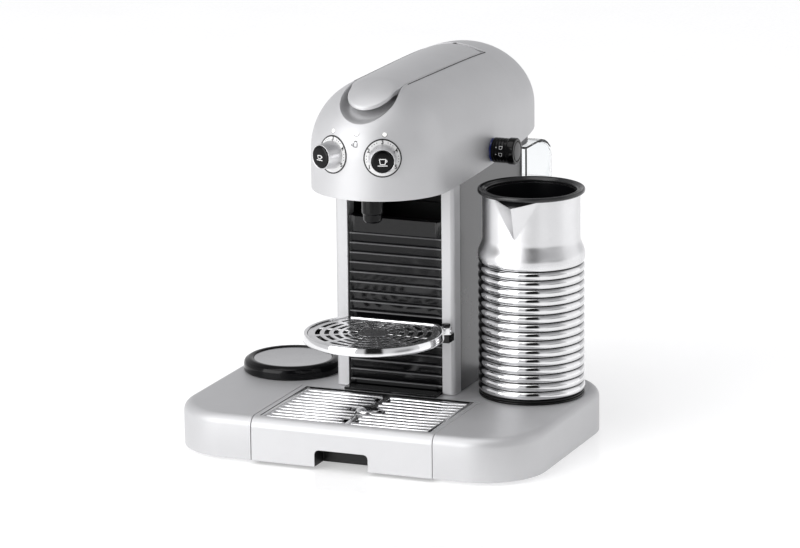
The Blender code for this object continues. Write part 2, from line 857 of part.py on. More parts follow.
def bay_outline(grow):
    rear = behind(LEVER_PIN + LEVER_OVERHANG + BAY_REAR_GAP) + grow
    return lever_outline(0.0007 + grow, SCOOP_RADIUS + grow, behind(SCOOP_FRONT) - grow, rear)


def dial_places():
    """(side name, point on the head, outward direction) of the two volume dials."""
    angle = math.asin(DIAL_OFFSET / HEAD_RADIUS)
    for side, name in ((-1, "left"), (1, "right")):
        direction = Vector((side * math.sin(angle), -math.cos(angle), 0))
        yield name, Vector((0, behind(HEAD_DOME), DIAL_Z)) + direction * HEAD_RADIUS, direction


def light_places():
    """(name, point on the head, outward direction) of the three indicator lights."""
    for name, x in (("left", -DIAL_OFFSET), ("centre", 0.0), ("right", DIAL_OFFSET)):
        depth = math.sqrt(HEAD_RADIUS**2 - LIGHT_HEIGHT**2 - x**2)
        offset = Vector((x, -depth, LIGHT_HEIGHT))
        yield name, Vector((0, behind(HEAD_DOME), ARCH_Z)) + offset, offset.normalized()


def make_head(mats):
    shell = head_solid("head_shell", 0.0)
    cut(shell, head_solid("head_hollow", HEAD_SHELL, 0.02))
    cut(shell, prism("bay_opening", bay_outline(0.0), ARCH_Z + 0.015, HEAD_TOP_Z + 0.01))
    for name, point, direction in dial_places():
        hole = rod(f"dial_hole_{name}", DIAL_RADIUS + GAP, point - direction * 0.02, point + direction * 0.01, 40)
        cut(shell, hole)
    for name, point, direction in light_places():
        hole = rod(f"light_hole_{name}", LIGHT_RADIUS + GAP, point - direction * 0.01, point + direction * 0.01, 12)
        cut(shell, hole)
    knob_hole = rod(
        "side_knob_hole",
        SHAFT_RADIUS + SHAFT_PLAY,
        (HEAD_RADIUS - 0.01, behind(SIDE_KNOB), SIDE_KNOB_Z),
        (HEAD_RADIUS + 0.01, behind(SIDE_KNOB), SIDE_KNOB_Z),
        20,
    )
    cut(shell, knob_hole)
    finish(shell, mats["silver_head"])

    inner = HEAD_RADIUS - HEAD_SHELL - GAP
    centre_y = behind(HEAD_DOME)
    end_y = behind(COLUMN_FRONT) - GAP
    outline = [(inner, end_y)] + arc((0, centre_y), inner, 0, -180, 17) + [(-inner, end_y)]
    underside = prism("head_underside", outline, HEAD_BOTTOM_Z + 0.001, HEAD_BOTTOM_Z + 0.004)
    spout_y = behind(SPOUT)
    spout_hole = rod(
        "spout_hole",
        SPOUT_RADIUS - 0.001 + GAP,
        (0, spout_y, HEAD_BOTTOM_Z - 0.02),
        (0, spout_y, HEAD_BOTTOM_Z + 0.02),
        24,
    )
    cut(underside, spout_hole)
    finish(underside, mats["black_underside"])

    r = SPOUT_RADIUS
    rim_z = HEAD_BOTTOM_Z + 0.001 - GAP
    low = HEAD_BOTTOM_Z - SPOUT_DROP
    spout = turned(
        "coffee_spout",
        [
            (0.003, rim_z + 0.010),
            (r - 0.001, rim_z + 0.010),
            (r - 0.001, rim_z),
            (r, rim_z),
            (r, low + 0.002),
            (r - 0.002, low),
            (0.003, low),
        ],
        (0, spout_y, 0),
        steps=24,
        ring=True,
    )
    finish(spout, mats["black_spout"])

    bridge_outline = [
        (-0.057, behind(COLUMN_BACK) + GAP),
        (0.057, behind(COLUMN_BACK) + GAP),
        *arc((0.037, behind(TANK_FRONT + 0.031) - 0.020), 0.020, 0, 90, 5),
        *arc((-0.037, behind(TANK_FRONT + 0.031) - 0.020), 0.020, 90, 180, 5),
    ]
    bridge = prism("rear_bridge", bridge_outline, TANK_TOP_Z + 2 * GAP, COLUMN_TOP_Z + 0.009)
    finish(bridge, mats["grey_bridge"])


def make_lever(mats):
    pin_y, pin_z = pin_place()
    rear = behind(LEVER_PIN + LEVER_OVERHANG)
    lever = prism(
        "lever", lever_outline(0.0, PADDLE_RADIUS, behind(LEVER_TIP), rear), ARCH_Z + 0.02, HEAD_TOP_Z + 0.01
    )
    keep_inside(lever, head_solid("lever_top", 0.0))
    cut(lever, head_solid("lever_under", LEVER_THICKNESS, 0.02))
    hub_half = LEVER_REAR_HALF - 0.006
    reach = LEVER_PIN_DROP - 0.0003
    hub = box("lever_hub", (-hub_half, pin_y - 0.006, pin_z - 0.005), (hub_half, pin_y + 0.006, pin_z + 0.010))
    add(lever, hub)
    tail = box("tail_trim", (-0.05, pin_y, pin_z - 0.001), (0.05, pin_y + 0.05, pin_z + 0.05))
    cut(tail, rod("tail_round", reach, (-0.06, pin_y, pin_z), (0.06, pin_y, pin_z), 64))
    bore = rod("lever_bore", LEVER_PIN_RADIUS + PIN_PLAY, (-0.05, pin_y, pin_z), (0.05, pin_y, pin_z), 20)
    cut(lever, tail, bore)
    finish(lever, mats["silver_lever"])

    ear_half = LEVER_REAR_HALF + 0.0035
    pin = rod("lever_pin", LEVER_PIN_RADIUS, (-ear_half, pin_y, pin_z), (ear_half, pin_y, pin_z), 20)
    finish(pin, mats["steel_pin"])

    bay = prism("lever_bay", bay_outline(0.0022), ARCH_Z + 0.012, HEAD_TOP_Z + 0.01)
    keep_inside(bay, head_solid("bay_top", HEAD_SHELL + GAP))
    cut(bay, head_solid("bay_under", BAY_DEPTH + 0.0025, 0.02))
    space = prism("bay_space", bay_outline(0.0), ARCH_Z + 0.0145, HEAD_TOP_Z + 0.02)
    cut(space, head_solid("bay_floor", BAY_DEPTH, 0.02))
    swing = box("swing_space", (-LEVER_REAR_HALF - 0.0007, pin_y - 0.012, ARCH_Z), (LEVER_REAR_HALF + 0.0007, rear + 0.05, 0.5))
    for side in (-1, 1):
        xs = sorted((side * (LEVER_REAR_HALF + 0.0009), side * ear_half))
        ear = box(f"bay_ear_{side}", (xs[0], pin_y - 0.016, pin_z - 0.008), (xs[1], pin_y + 0.006, pin_z + 0.0036))
        add(bay, ear)
    slot = chute_box("capsule_slot", ARCH_Z, HEAD_TOP_Z)
    ear_bore = rod("ear_bore", LEVER_PIN_RADIUS + PIN_PLAY, (-0.05, pin_y, pin_z), (0.05, pin_y, pin_z), 20)
    cut(bay, space, swing, slot, ear_bore)
    finish(bay, mats["grey_bay"])


def chute_box(name, low, high):
    """The shaft a capsule falls through."""
    front, back = behind(CHUTE_FRONT), behind(CHUTE_FRONT + CHUTE_LENGTH)
    return box(name, (-CHUTE_HALF, front, low), (CHUTE_HALF, back, high))


def make_controls(mats):
    cap_z = KNOB_LENGTH - CAP_THICKNESS + CAP_PROUD
    for name, point, direction in dial_places():
        face = point - direction * 0.001
        ring = turned(
            f"dial_ring_{name}",
            [
                (SHAFT_RADIUS + SHAFT_PLAY, 0.0),
                (DIAL_RADIUS, 0.0),
                (DIAL_RADIUS, -DIAL_THICKNESS),
                (SHAFT_RADIUS + SHAFT_PLAY, -DIAL_THICKNESS),
            ],
            face,
            direction,
            steps=32,
            ring=True,
        )
        finish(ring, mats["dial_white"])
        bore = 0.003 + GAP
        well = CAP_RADIUS + GAP
        knob = turned(
            f"knob_{name}",
            [
                (bore, cap_z - CAP_TRAVEL - GAP),
                (well, cap_z - CAP_TRAVEL - GAP),
                (well, KNOB_LENGTH),
                (KNOB_TIP_RADIUS, KNOB_LENGTH),
                (KNOB_RADIUS, GAP),
                (SHAFT_RADIUS, GAP),
                (SHAFT_RADIUS, -DIAL_THICKNESS - 0.003),
                (bore, -DIAL_THICKNESS - 0.003),
            ],
            face,
            direction,
            steps=24,
            ring=True,
        )
        finish(knob, mats["steel_knob"])
        button = turned(
            f"button_{name}",
            [
                (0.0, cap_z + CAP_THICKNESS),
                (CAP_RADIUS - 0.0006, cap_z + CAP_THICKNESS),
                (CAP_RADIUS, cap_z + CAP_THICKNESS - 0.0006),
                (CAP_RADIUS, cap_z),
                (0.003, cap_z),
                (0.003, -DIAL_THICKNESS - 0.003),
                (0.0, -DIAL_THICKNESS - 0.003),
            ],
            face,
            direction,
            steps=24,
        )
        finish(button, mats["black_button"])
    for name, point, direction in light_places():
        light = rod(f"light_{name}", LIGHT_RADIUS, point - direction * 0.0024, point + direction * 0.0004, 12)
        finish(light, mats["light_lens"])
    make_side_knob(mats)


def make_side_knob(mats):
    y, z = behind(SIDE_KNOB), SIDE_KNOB_Z
    start = (HEAD_RADIUS + GAP, y, z)
    out = (1, 0, 0)
    ring_t = 0.0015
    r, flange = SIDE_KNOB_RADIUS, SIDE_FLANGE_RADIUS
    ring = turned(
        "frother_light",
        [
            (SHAFT_RADIUS + SHAFT_PLAY, ring_t),
            (r, ring_t),
            (r + 0.0005, 0.0),
            (SHAFT_RADIUS + SHAFT_PLAY, 0.0),
        ],
        start,
        out,
        steps=24,
        ring=True,
    )
    finish(ring, mats["blue_light"])
    length = SIDE_KNOB_LENGTH
    cap_r, cap_t = 0.0088, 0.004
    cap_low = length - cap_t + 0.0006
    bore = 0.003 + GAP
    knob = turned(
        "frother_knob",
        [
            (bore, cap_low - CAP_TRAVEL - GAP),
            (cap_r + GAP, cap_low - CAP_TRAVEL - GAP),
            (cap_r + GAP, length),
            (flange - 0.001, length),
            (flange, length - 0.001),
            (flange, length - SIDE_FLANGE + 0.001),
            (r, length - SIDE_FLANGE),
            (r, ring_t + GAP),
            (SHAFT_RADIUS, ring_t + GAP),
            (SHAFT_RADIUS, -0.010),
            (bore, -0.010),
        ],
        start,
        out,
        steps=24,
        ring=True,
    )
    finish(knob, mats["black_knob"])
    button = turned(
        "frother_button",
        [
            (0.0, cap_low + cap_t),
            (cap_r - 0.0005, cap_low + cap_t),
            (cap_r, cap_low + cap_t - 0.0005),
            (cap_r, cap_low),
            (0.003, cap_low),
            (0.003, -0.010),
            (0.0, -0.010),
        ],
        start,
        out,
        steps=24,
    )
    finish(button, mats["grey_button"])


# ---- working parts inside ------------------------------------------------------------------------------


def make_inside(mats):
    top = CHASSIS_Z + 0.003 + GAP
    bore_z = ARCH_Z + 0.006
    chute_back = CHUTE_FRONT + CHUTE_LENGTH
    front, back = behind(CHUTE_FRONT - 0.016), behind(chute_back + 0.055)
    frame = box("brew_frame", (-0.026, front, top), (0.026, back, bore_z + 0.024))
    bore = rod("brew_bore", 0.0160, (0, behind(CHUTE_FRONT - 0.004), bore_z), (0, back + 0.01, bore_z), 24)
    cut(frame, bore, chute_box("brew_chute", top - 0.01, bore_z + 0.04))
    finish(frame, mats["black_brew"], smooth=False)
    piston_back = behind(chute_back - PISTON_TRAVEL + 0.050)
    piston = turned(
        "brew_piston",
        [(0.0, 0.050), (0.012, 0.050), (0.0155, 0.046), (0.0155, 0.0), (0.0, 0.0)],
        (0, piston_back, bore_z),
        (0, -1, 0),
        24,
    )
    finish(piston, mats["steel_piston"])

    boiler_y = behind(0.262)
    boiler = turned(
        "boiler",
        [(0.0, 0.044), (0.016, 0.044), (0.022, 0.038), (0.022, 0.006), (0.016, 0.0), (0.0, 0.0)],
        (0.0, boiler_y, top),
        steps=24,
    )
    finish(boiler, mats["aluminium_boiler"])
    pump_y = behind(0.258)
    pump = turned(
        "pump",
        [(0.0, 0.117), (0.006, 0.117), (0.006, 0.097), (0.019, 0.092), (0.019, 0.022), (0.016, 0.014), (0.016, 0.0), (0.0, 0.0)],
        (-0.026, pump_y, BASE_HEIGHT + GAP),
        steps=20,
    )
    finish(pump, mats["pump_body"])
    board = box(
        "power_board",
        (COLUMN_HALF - WALL - 0.009, behind(0.225), BASE_HEIGHT + 0.020),
        (COLUMN_HALF - WALL - 0.0074, behind(0.295), BASE_HEIGHT + 0.110),
    )
    finish(board, mats["circuit_green"], smooth=False)
    dock_x, dock_y = WING_MIDDLE, behind(JUG)
    under = BASE_HEIGHT - WALL - GAP
    motor = turned(
        "frother_motor",
        [(0.0, 0.0), (0.026, 0.0), (0.026, -0.006), (0.016, -0.006), (0.016, -0.030), (0.0, -0.030)],
        (dock_x, dock_y, under),
        steps=24,
    )
    finish(motor, mats["motor_steel"])


# ---- frother jug ---------------------------------------------------------------------------------------


def jug_outer_profile(low):
    """(radius, z) up the outside of the sleeve: ribs, a smooth band, the shoulder and the neck."""
    valley = JUG_RADIUS - JUG_RIB_DEPTH
    points = [(valley, low)]
    for i in range(JUG_RIBS):
        z = low + i * JUG_RIB_PITCH
        points += [(JUG_RADIUS, z + 0.5 * JUG_RIB_PITCH), (valley, z + JUG_RIB_PITCH)]
    z = low + JUG_RIBS * JUG_RIB_PITCH
    points += [(JUG_RADIUS, z + 0.003), (JUG_RADIUS, z + JUG_BAND)]
    for t in (0.33, 0.67, 1.0):
        ease = 0.5 - 0.5 * math.cos(math.pi * t)
        points.append((JUG_RADIUS + (JUG_NECK_RADIUS - JUG_RADIUS) * ease, z + JUG_BAND + JUG_SHOULDER * t))
    return points


def lip_wedge(name, grow, top, drop):
    """The V-shaped fold of the pouring lip: two facets that meet in an edge from the tip down to the sleeve."""
    x, y = WING_MIDDLE, behind(JUG)
    half = LIP_HALF + grow
    chord = math.sqrt(max(0.0, JUG_NECK_RADIUS**2 - half**2))
    tip = Vector((x, y - JUG_RADIUS - LIP_REACH - grow * 1.6, top))
    low = Vector((x, y - JUG_NECK_RADIUS + 0.001 - grow, top - drop))
    left = Vector((x - half, y - chord + 0.003, top))
    right = Vector((x + half, y - chord + 0.003, top))
    back = Vector((x, y - chord + 0.016, top))
    deep = Vector((x, y - chord + 0.012, top - drop))
    bm = bmesh.new()
    for point in (tip, low, left, right, back, deep):
        bm.verts.new(point)
    bmesh.ops.convex_hull(bm, input=bm.verts)
    bmesh.ops.recalc_face_normals(bm, faces=bm.faces)
    mesh = bpy.data.meshes.new(name)
    bm.to_mesh(mesh)
    bm.free()
    return link(name, mesh)


def make_frother(mats):
    x, y = WING_MIDDLE, behind(JUG)
    dock_low, dock_top = BASE_HEIGHT + GAP, BASE_HEIGHT + 0.0022
    dock = turned(
        "frother_dock",
        [(0.0, dock_top), (JUG_RADIUS - 0.0015, dock_top), (JUG_RADIUS - 0.0005, dock_low), (0.0, dock_low)],
        (x, y, 0),
        steps=40,
    )
    finish(dock, mats["black_dock"])

    base_low = dock_top + GAP
    base_top = base_low + JUG_BASE_HEIGHT
    inner_r = JUG_NECK_RADIUS - JUG_WALL - POT_GAP
    jug_base = turned(
        "jug_base",
        [(0.0, base_top), (JUG_RADIUS - 0.001, base_top), (JUG_RADIUS - 0.001, base_low), (0.0, base_low)],
        (x, y, 0),
        steps=40,
    )
    finish(jug_base, mats["black_jug_base"])

    low = base_top + GAP
    top = base_low + JUG_HEIGHT - JUG_RIM_HEIGHT
    outer = jug_outer_profile(low) + [(JUG_NECK_RADIUS, top)]
    wall = JUG_NECK_RADIUS - JUG_WALL
    profile = [(wall, low)] + [(wall, top)] + outer[::-1]
    sleeve = turned("jug_sleeve", profile, (x, y, 0), steps=36, ring=True)
    wedge = lip_wedge("lip_outer", 0.0, top, LIP_DROP)
    hollow = lip_wedge("lip_inner", -0.0014, top + 0.001, LIP_DROP)
    inside = rod("sleeve_inside", wall + 0.0004, (x, y, low - 0.01), (x, y, top + 0.01), 48)
    cut(wedge, inside)
    add(sleeve, wedge)
    cut(sleeve, hollow)
    finish(sleeve, mats["steel_sleeve"])

    pot_low = base_top + GAP
    pot_wall = 0.0012
    floor = pot_low + 0.004
    pot = turned(
        "jug_pot",
        [
            (0.0, floor + 0.008),
            (0.0025, floor + 0.008),
            (0.0035, floor),
            (inner_r - pot_wall - 0.004, floor),
            (inner_r - pot_wall, floor + 0.004),
            (inner_r - pot_wall, top),
            (inner_r, top),
            (inner_r, pot_low),
            (0.0, pot_low),
        ],
        (x, y, 0),
        steps=40,
    )
    cut(pot, lip_wedge("pot_notch", 0.0008, top + 0.002, LIP_DROP * 0.55))
    finish(pot, mats["nonstick_pot"])

    rim_low = top + GAP
    rim_top = top + JUG_RIM_HEIGHT
    mouth = inner_r - pot_wall
    rim = turned(
        "jug_rim",
        [
            (mouth, rim_top - 0.001),
            (mouth + 0.001, rim_top),
            (JUG_RADIUS - 0.0015, rim_top),
            (JUG_RADIUS, rim_top - 0.0015),
            (JUG_RADIUS, rim_low + 0.0012),
            (JUG_RADIUS - 0.0012, rim_low),
            (mouth, rim_low),
        ],
        (x, y, 0),
        steps=40,
        ring=True,
    )
    lip = lip_wedge("rim_lip", 0.001, rim_top - 0.0006, 0.2)
    keep_inside(lip, box("rim_slice", (x - 0.1, y - 0.1, rim_low), (x + 0.1, y + 0.1, rim_top)))
    mouth_cut = rod("rim_mouth", mouth, (x, y, rim_low - 0.01), (x, y, rim_top + 0.01), 48)
    lip_cut = lip_wedge("rim_lip_inner", -0.0024, rim_top + 0.002, 0.2)
    add(rim, lip)
    cut(rim, mouth_cut, lip_cut)
    finish(rim, mats["black_rim"])

    whisk_z = floor + 0.011
    whisk = turned(
        "whisk",
        [(0.0, whisk_z + 0.004), (0.004, whisk_z + 0.004), (0.005, whisk_z), (0.0, whisk_z)],
        (x, y, 0),
        steps=20,
    )
    r = WHISK_RADIUS
    hoop = turned(
        "whisk_hoop",
        [(r + 0.0016 * math.cos(a), whisk_z + 0.002 + 0.0016 * math.sin(a)) for a in hoop_angles()],
        (x, y, 0),
        steps=20,
        ring=True,
    )
    bars = [
        box("whisk_bar_x", (x - r, y - 0.001, whisk_z + 0.0012), (x + r, y + 0.001, whisk_z + 0.0028)),
        box("whisk_bar_y", (x - 0.001, y - r, whisk_z + 0.0011), (x + 0.001, y + r, whisk_z + 0.0029)),
    ]
    add(whisk, hoop, *bars)
    finish(whisk, mats["whisk_steel"])


def hoop_angles():
    """Angles round the whisk's wire, so that its outer side runs downwards."""
    return [math.radians(90 - 60 * i) for i in range(6)]


# ---- water tank ----------------------------------------------------------------------------------------


def tank_profile(shoulder):
    """(y, z) outline of the tank, with the shoulder's radius given."""
    front, back = behind(TANK_FRONT), behind(DEPTH)
    low, top = BASE_HEIGHT + GAP, TANK_TOP_Z
    centre = (back - TANK_SHOULDER, top - TANK_SHOULDER)
    return [(front, low), (back, low)] + arc(centre, shoulder, 0, 90, 9) + [(front, top)]


def tank_plan(name, half, low, top):
    front, back = behind(TANK_FRONT) - 0.01, behind(DEPTH)
    r = TANK_CORNER
    outline = [(-half, front), (half, front)]
    outline += arc((half - r, back - r), r, 0, 90, 5) + arc((-half + r, back - r), r, 90, 180, 5)
    return prism(name, outline, low, top)


def make_tank(mats):
    half = TANK_HALF
    centre = (behind(DEPTH) - TANK_SHOULDER, TANK_TOP_Z - TANK_SHOULDER)
    inner_shoulder = TANK_SHOULDER - LID_THICKNESS - GAP
    tank = prism("water_tank", tank_profile_without_lid(centre, inner_shoulder), -half, half, "X")
    keep_inside(tank, tank_plan("tank_plan", half, BASE_HEIGHT, TANK_TOP_Z + 0.01))
    wall = TANK_WALL
    front, back = behind(TANK_FRONT) + wall, behind(DEPTH) - wall
    low, top = BASE_HEIGHT + GAP + wall, TANK_TOP_Z - wall
    hollow_outline = [
        (front, low),
        (back, low),
        (back, centre[1]),
        (back + 0.02, centre[1]),
        (back + 0.02, top + 0.02),
        (centre[0], top + 0.02),
        (centre[0], top),
        (front, top),
    ]
    hollow = prism("tank_hollow", hollow_outline, -half + wall, half - wall, "X")
    r = TANK_CORNER
    inner_plan = [(-half + wall, front - 0.01), (half - wall, front - 0.01)]
    inner_plan += arc((half - r, behind(DEPTH) - r), r - wall, 0, 90, 5)
    inner_plan += arc((-half + r, behind(DEPTH) - r), r - wall, 90, 180, 5)
    keep_inside(hollow, prism("tank_inner_plan", inner_plan, 0.0, 0.5))
    cut(tank, hollow)
    finish(tank, mats["clear_tank"])

    lid_outline = arc(centre, TANK_SHOULDER, 1, 90, 10) + arc(centre, TANK_SHOULDER - LID_THICKNESS, 90, 1, 10)
    lid = prism("tank_lid", lid_outline, -half, half, "X")
    keep_inside(lid, tank_plan("lid_plan", half, BASE_HEIGHT, TANK_TOP_Z + 0.01))
    finish(lid, mats["clear_lid"])

    valve_y = behind(TANK_FRONT + 0.030)
    valve = turned(
        "tank_valve",
        [(0.0, 0.016), (0.006, 0.016), (0.009, 0.010), (0.009, 0.0), (0.0, 0.0)],
        (0, valve_y, BASE_HEIGHT + GAP + wall + GAP),
        steps=20,
    )
    finish(valve, mats["valve_black"])


def tank_profile_without_lid(centre, shoulder):
    """The tank's side outline, stepped down under the lid."""
    front, back = behind(TANK_FRONT), behind(DEPTH)
    low, top = BASE_HEIGHT + GAP, TANK_TOP_Z
    return (
        [(front, low), (back, low), (back, centre[1])]
        + arc(centre, shoulder, 0, 90, 9)
        + [(centre[0] - GAP, top), (front, top)]
    )


# ---- the machine ---------------------------------------------------------------------------------------

FINISHES = {
    "silver_base": ((0.66, 0.66, 0.67), 0.38, 0.6),
    "silver_drawer": ((0.66, 0.66, 0.67), 0.38, 0.6),
    "silver_pillar": ((0.70, 0.70, 0.71), 0.35, 0.6),
    "silver_panel": ((0.60, 0.60, 0.61), 0.35, 0.7),
    "silver_head": ((0.66, 0.66, 0.67), 0.38, 0.6),
    "silver_lever": ((0.70, 0.70, 0.71), 0.32, 0.6),
    "grey_panel": ((0.30, 0.30, 0.31), 0.5, 0.2),
    "grey_bridge": ((0.22, 0.22, 0.23), 0.5, 0.0),
    "grey_bay": ((0.35, 0.35, 0.36), 0.45, 0.4),
    "grey_button": ((0.45, 0.45, 0.46), 0.4, 0.3),
    "black_rubber": ((0.02, 0.02, 0.02), 0.8, 0.0),
    "foot_rubber": ((0.03, 0.03, 0.03), 0.85, 0.0),
    "black_plate": ((0.03, 0.03, 0.03), 0.6, 0.0),
    "black_gloss": ((0.015, 0.015, 0.017), 0.15, 0.0),
    "black_bay": ((0.015, 0.015, 0.015), 0.45, 0.0),
    "black_chassis": ((0.02, 0.02, 0.02), 0.5, 0.0),
    "black_container": ((0.015, 0.015, 0.016), 0.2, 0.0),
    "black_floor": ((0.02, 0.02, 0.02), 0.4, 0.0),
    "black_bracket": ((0.02, 0.02, 0.02), 0.3, 0.0),
    "black_pin": ((0.02, 0.02, 0.02), 0.3, 0.0),
    "black_underside": ((0.015, 0.015, 0.015), 0.35, 0.0),
    "black_spout": ((0.012, 0.012, 0.012), 0.25, 0.0),
    "black_button": ((0.01, 0.01, 0.01), 0.12, 0.0),
    "black_knob": ((0.012, 0.012, 0.012), 0.2, 0.0),
    "black_brew": ((0.03, 0.03, 0.03), 0.5, 0.0),
    "black_dock": ((0.015, 0.015, 0.015), 0.3, 0.0),
    "black_jug_base": ((0.015, 0.015, 0.015), 0.3, 0.0),
    "black_rim": ((0.05, 0.05, 0.05), 0.35, 0.0),
    "valve_black": ((0.02, 0.02, 0.02), 0.4, 0.0),
    "warmer_steel": ((0.55, 0.55, 0.55), 0.18, 1.0),
    "heater_foil": ((0.6, 0.5, 0.3), 0.5, 0.8),
    "chrome_grid": ((0.85, 0.85, 0.86), 0.12, 1.0),
    "chrome_float": ((0.85, 0.85, 0.86), 0.1, 1.0),
    "chrome_tray": ((0.85, 0.85, 0.86), 0.12, 1.0),
    "chrome_support_grid": ((0.80, 0.80, 0.81), 0.15, 1.0),
    "steel_pin": ((0.6, 0.6, 0.6), 0.3, 1.0),
    "steel_knob": ((0.75, 0.75, 0.76), 0.25, 1.0),
    "steel_piston": ((0.6, 0.6, 0.6), 0.3, 1.0),
    "steel_sleeve": ((0.82, 0.82, 0.83), 0.1, 1.0),
    "whisk_steel": ((0.7, 0.7, 0.7), 0.25, 1.0),
    "nonstick_pot": ((0.02, 0.02, 0.022), 0.35, 0.0),
    "motor_steel": ((0.4, 0.4, 0.4), 0.4, 0.9),
    "aluminium_boiler": ((0.7, 0.7, 0.71), 0.4, 1.0),
    "pump_body": ((0.7, 0.7, 0.66), 0.5, 0.0),
    "circuit_green": ((0.05, 0.25, 0.10), 0.5, 0.0),
    "dial_white": ((0.88, 0.88, 0.88), 0.4, 0.0),
    "light_lens": ((0.95, 0.95, 0.95), 0.2, 0.0),
    "blue_light": ((0.10, 0.15, 0.55), 0.2, 0.0),
    "clear_tank": ((0.85, 0.87, 0.88), 0.05, 0.0, 0.3),
    "clear_lid": ((0.85, 0.87, 0.88), 0.05, 0.0, 0.35),
}


def main():
    mats = {name: material(name, *values) for name, values in FINISHES.items()}
    make_base(mats)
    make_warmer(mats)
    make_drawer(mats)
    make_column(mats)
    make_container(mats)
    make_support(mats)
    make_head(mats)
    make_lever(mats)
    make_controls(mats)
    make_inside(mats)
    make_frother(mats)
    make_tank(mats)


clear_scene()
PARTS = new_collection("pod_coffee_machine")
CUTTERS = new_collection("cutters")
main()
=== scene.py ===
"""Finish of the pod coffee machine: every visible piece, its material, and the studio it stands in."""

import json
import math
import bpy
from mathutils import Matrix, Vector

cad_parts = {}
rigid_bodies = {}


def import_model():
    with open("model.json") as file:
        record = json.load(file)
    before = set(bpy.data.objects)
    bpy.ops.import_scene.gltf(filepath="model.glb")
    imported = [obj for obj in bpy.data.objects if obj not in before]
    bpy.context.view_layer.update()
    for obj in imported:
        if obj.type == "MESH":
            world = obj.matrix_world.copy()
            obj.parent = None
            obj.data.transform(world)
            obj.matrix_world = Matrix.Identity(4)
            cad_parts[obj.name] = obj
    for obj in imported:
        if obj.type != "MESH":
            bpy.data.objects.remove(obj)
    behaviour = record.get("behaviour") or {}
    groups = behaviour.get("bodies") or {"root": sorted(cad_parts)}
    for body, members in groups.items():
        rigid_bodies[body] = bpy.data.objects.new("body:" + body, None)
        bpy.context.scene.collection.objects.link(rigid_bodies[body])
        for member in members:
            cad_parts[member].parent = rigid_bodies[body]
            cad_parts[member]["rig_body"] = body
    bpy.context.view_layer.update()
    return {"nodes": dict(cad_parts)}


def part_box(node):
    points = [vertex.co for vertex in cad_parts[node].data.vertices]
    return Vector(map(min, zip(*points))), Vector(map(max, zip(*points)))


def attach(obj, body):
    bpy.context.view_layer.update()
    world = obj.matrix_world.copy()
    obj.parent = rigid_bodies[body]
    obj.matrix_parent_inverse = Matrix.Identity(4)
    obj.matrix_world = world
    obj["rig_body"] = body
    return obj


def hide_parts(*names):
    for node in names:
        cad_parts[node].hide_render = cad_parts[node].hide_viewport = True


bl_info = {
    "name": "Pod Coffee Machine",
    "version": (1, 0, 0),
    "blender": (4, 5, 0),
    "location": "View3D > Sidebar > Machine",
    "description": "Builds the visible pieces of a pod coffee machine on its jointed frame",
    "category": "Add Mesh",
}

import bmesh
import bpy
import numpy as np
from mathutils import Matrix, Vector

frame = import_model()

MM = 0.001


def low(node):
    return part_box(node)[0]


def high(node):
    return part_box(node)[1]


def middle(node):
    return (low(node) + high(node)) / 2


# ---- places and sizes taken from the frame -------------------------------------------------------------

HEAD_HALF = high("head_shell").x
HEAD_RIM = low("head_shell").z
HEAD_BACK = high("head_shell").y
HEAD_WALL = 2.4 * MM
DOME_Y = low("head_shell").y + HEAD_HALF
ARCH_Z = HEAD_RIM + 35 * MM
ARCH_RISE = high("lever").z - ARCH_Z
ROUND_START = DOME_Y + 35.7 * MM
RIM_RISE = 0.23  # per metre squared: how fast the rim climbs towards the back

LEVER_TIP = low("lever").y
LEVER_REAR = high("lever").y
LEVER_HALF = high("lever").x
PADDLE = 20.8 * MM
NECK = 23.5 * MM
NECK_Y = LEVER_TIP + 37 * MM
PIN = middle("lever_pin")
TAIL_REACH = ARCH_Z + ARCH_RISE - PIN.z - 0.3 * MM
SEAM = 0.7 * MM
SCOOP = 25.8 * MM
SCOOP_TIP = LEVER_TIP - 10.3 * MM
OPENING_REAR = LEVER_REAR + 3.8 * MM

DIAL_ANGLE = math.asin(24.5 * MM / HEAD_HALF)
DIAL_Z = ARCH_Z + 4 * MM
JUG = middle("jug_pot")
RIB_PITCH = 7.9 * MM
JUG_NECK = 44.2 * MM
FRONT_STRIP = 15.5 * MM  # plain strip above the container's ribs
FRONT_FOOT = 5 * MM  # plain strip below them
BASE_TOP = high("base_shell").z
TABLE_GAP = low("base_shell").z


# ---- meshes --------------------------------------------------------------------------------------------


def smooth(obj, angle=35):
    obj.data.shade_smooth()
    obj.data.set_sharp_from_angle(angle=math.radians(angle))
    return obj


def even_normals(obj):
    """Large faces set the shading, so narrow ones beside them leave no mark."""
    even = obj.modifiers.new("even_normals", "WEIGHTED_NORMAL")
    even.weight = 80
    even.keep_sharp = True
    return obj


def new_piece(name, mesh, mats, body, *replaced):
    """Puts a mesh in the scene as a piece that rides on a body and stands for CAD nodes."""
    obj = bpy.data.objects.new(name, mesh)
    bpy.context.scene.collection.objects.link(obj)
    mesh.materials.clear()
    for mat in mats if isinstance(mats, (list, tuple)) else [mats]:
        mesh.materials.append(mat)
    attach(obj, body)
    if replaced:
        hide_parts(*replaced)
    return obj


def tidy_mesh(bm, name):
    """A mesh from bm with its doubled points merged and its faces turned outwards."""
    bmesh.ops.remove_doubles(bm, verts=bm.verts, dist=1e-6)
    bmesh.ops.dissolve_degenerate(bm, edges=bm.edges, dist=1e-7)
    bmesh.ops.recalc_face_normals(bm, faces=bm.faces)
    mesh = bpy.data.meshes.new(name)
    bm.to_mesh(mesh)
    bm.free()
    return mesh


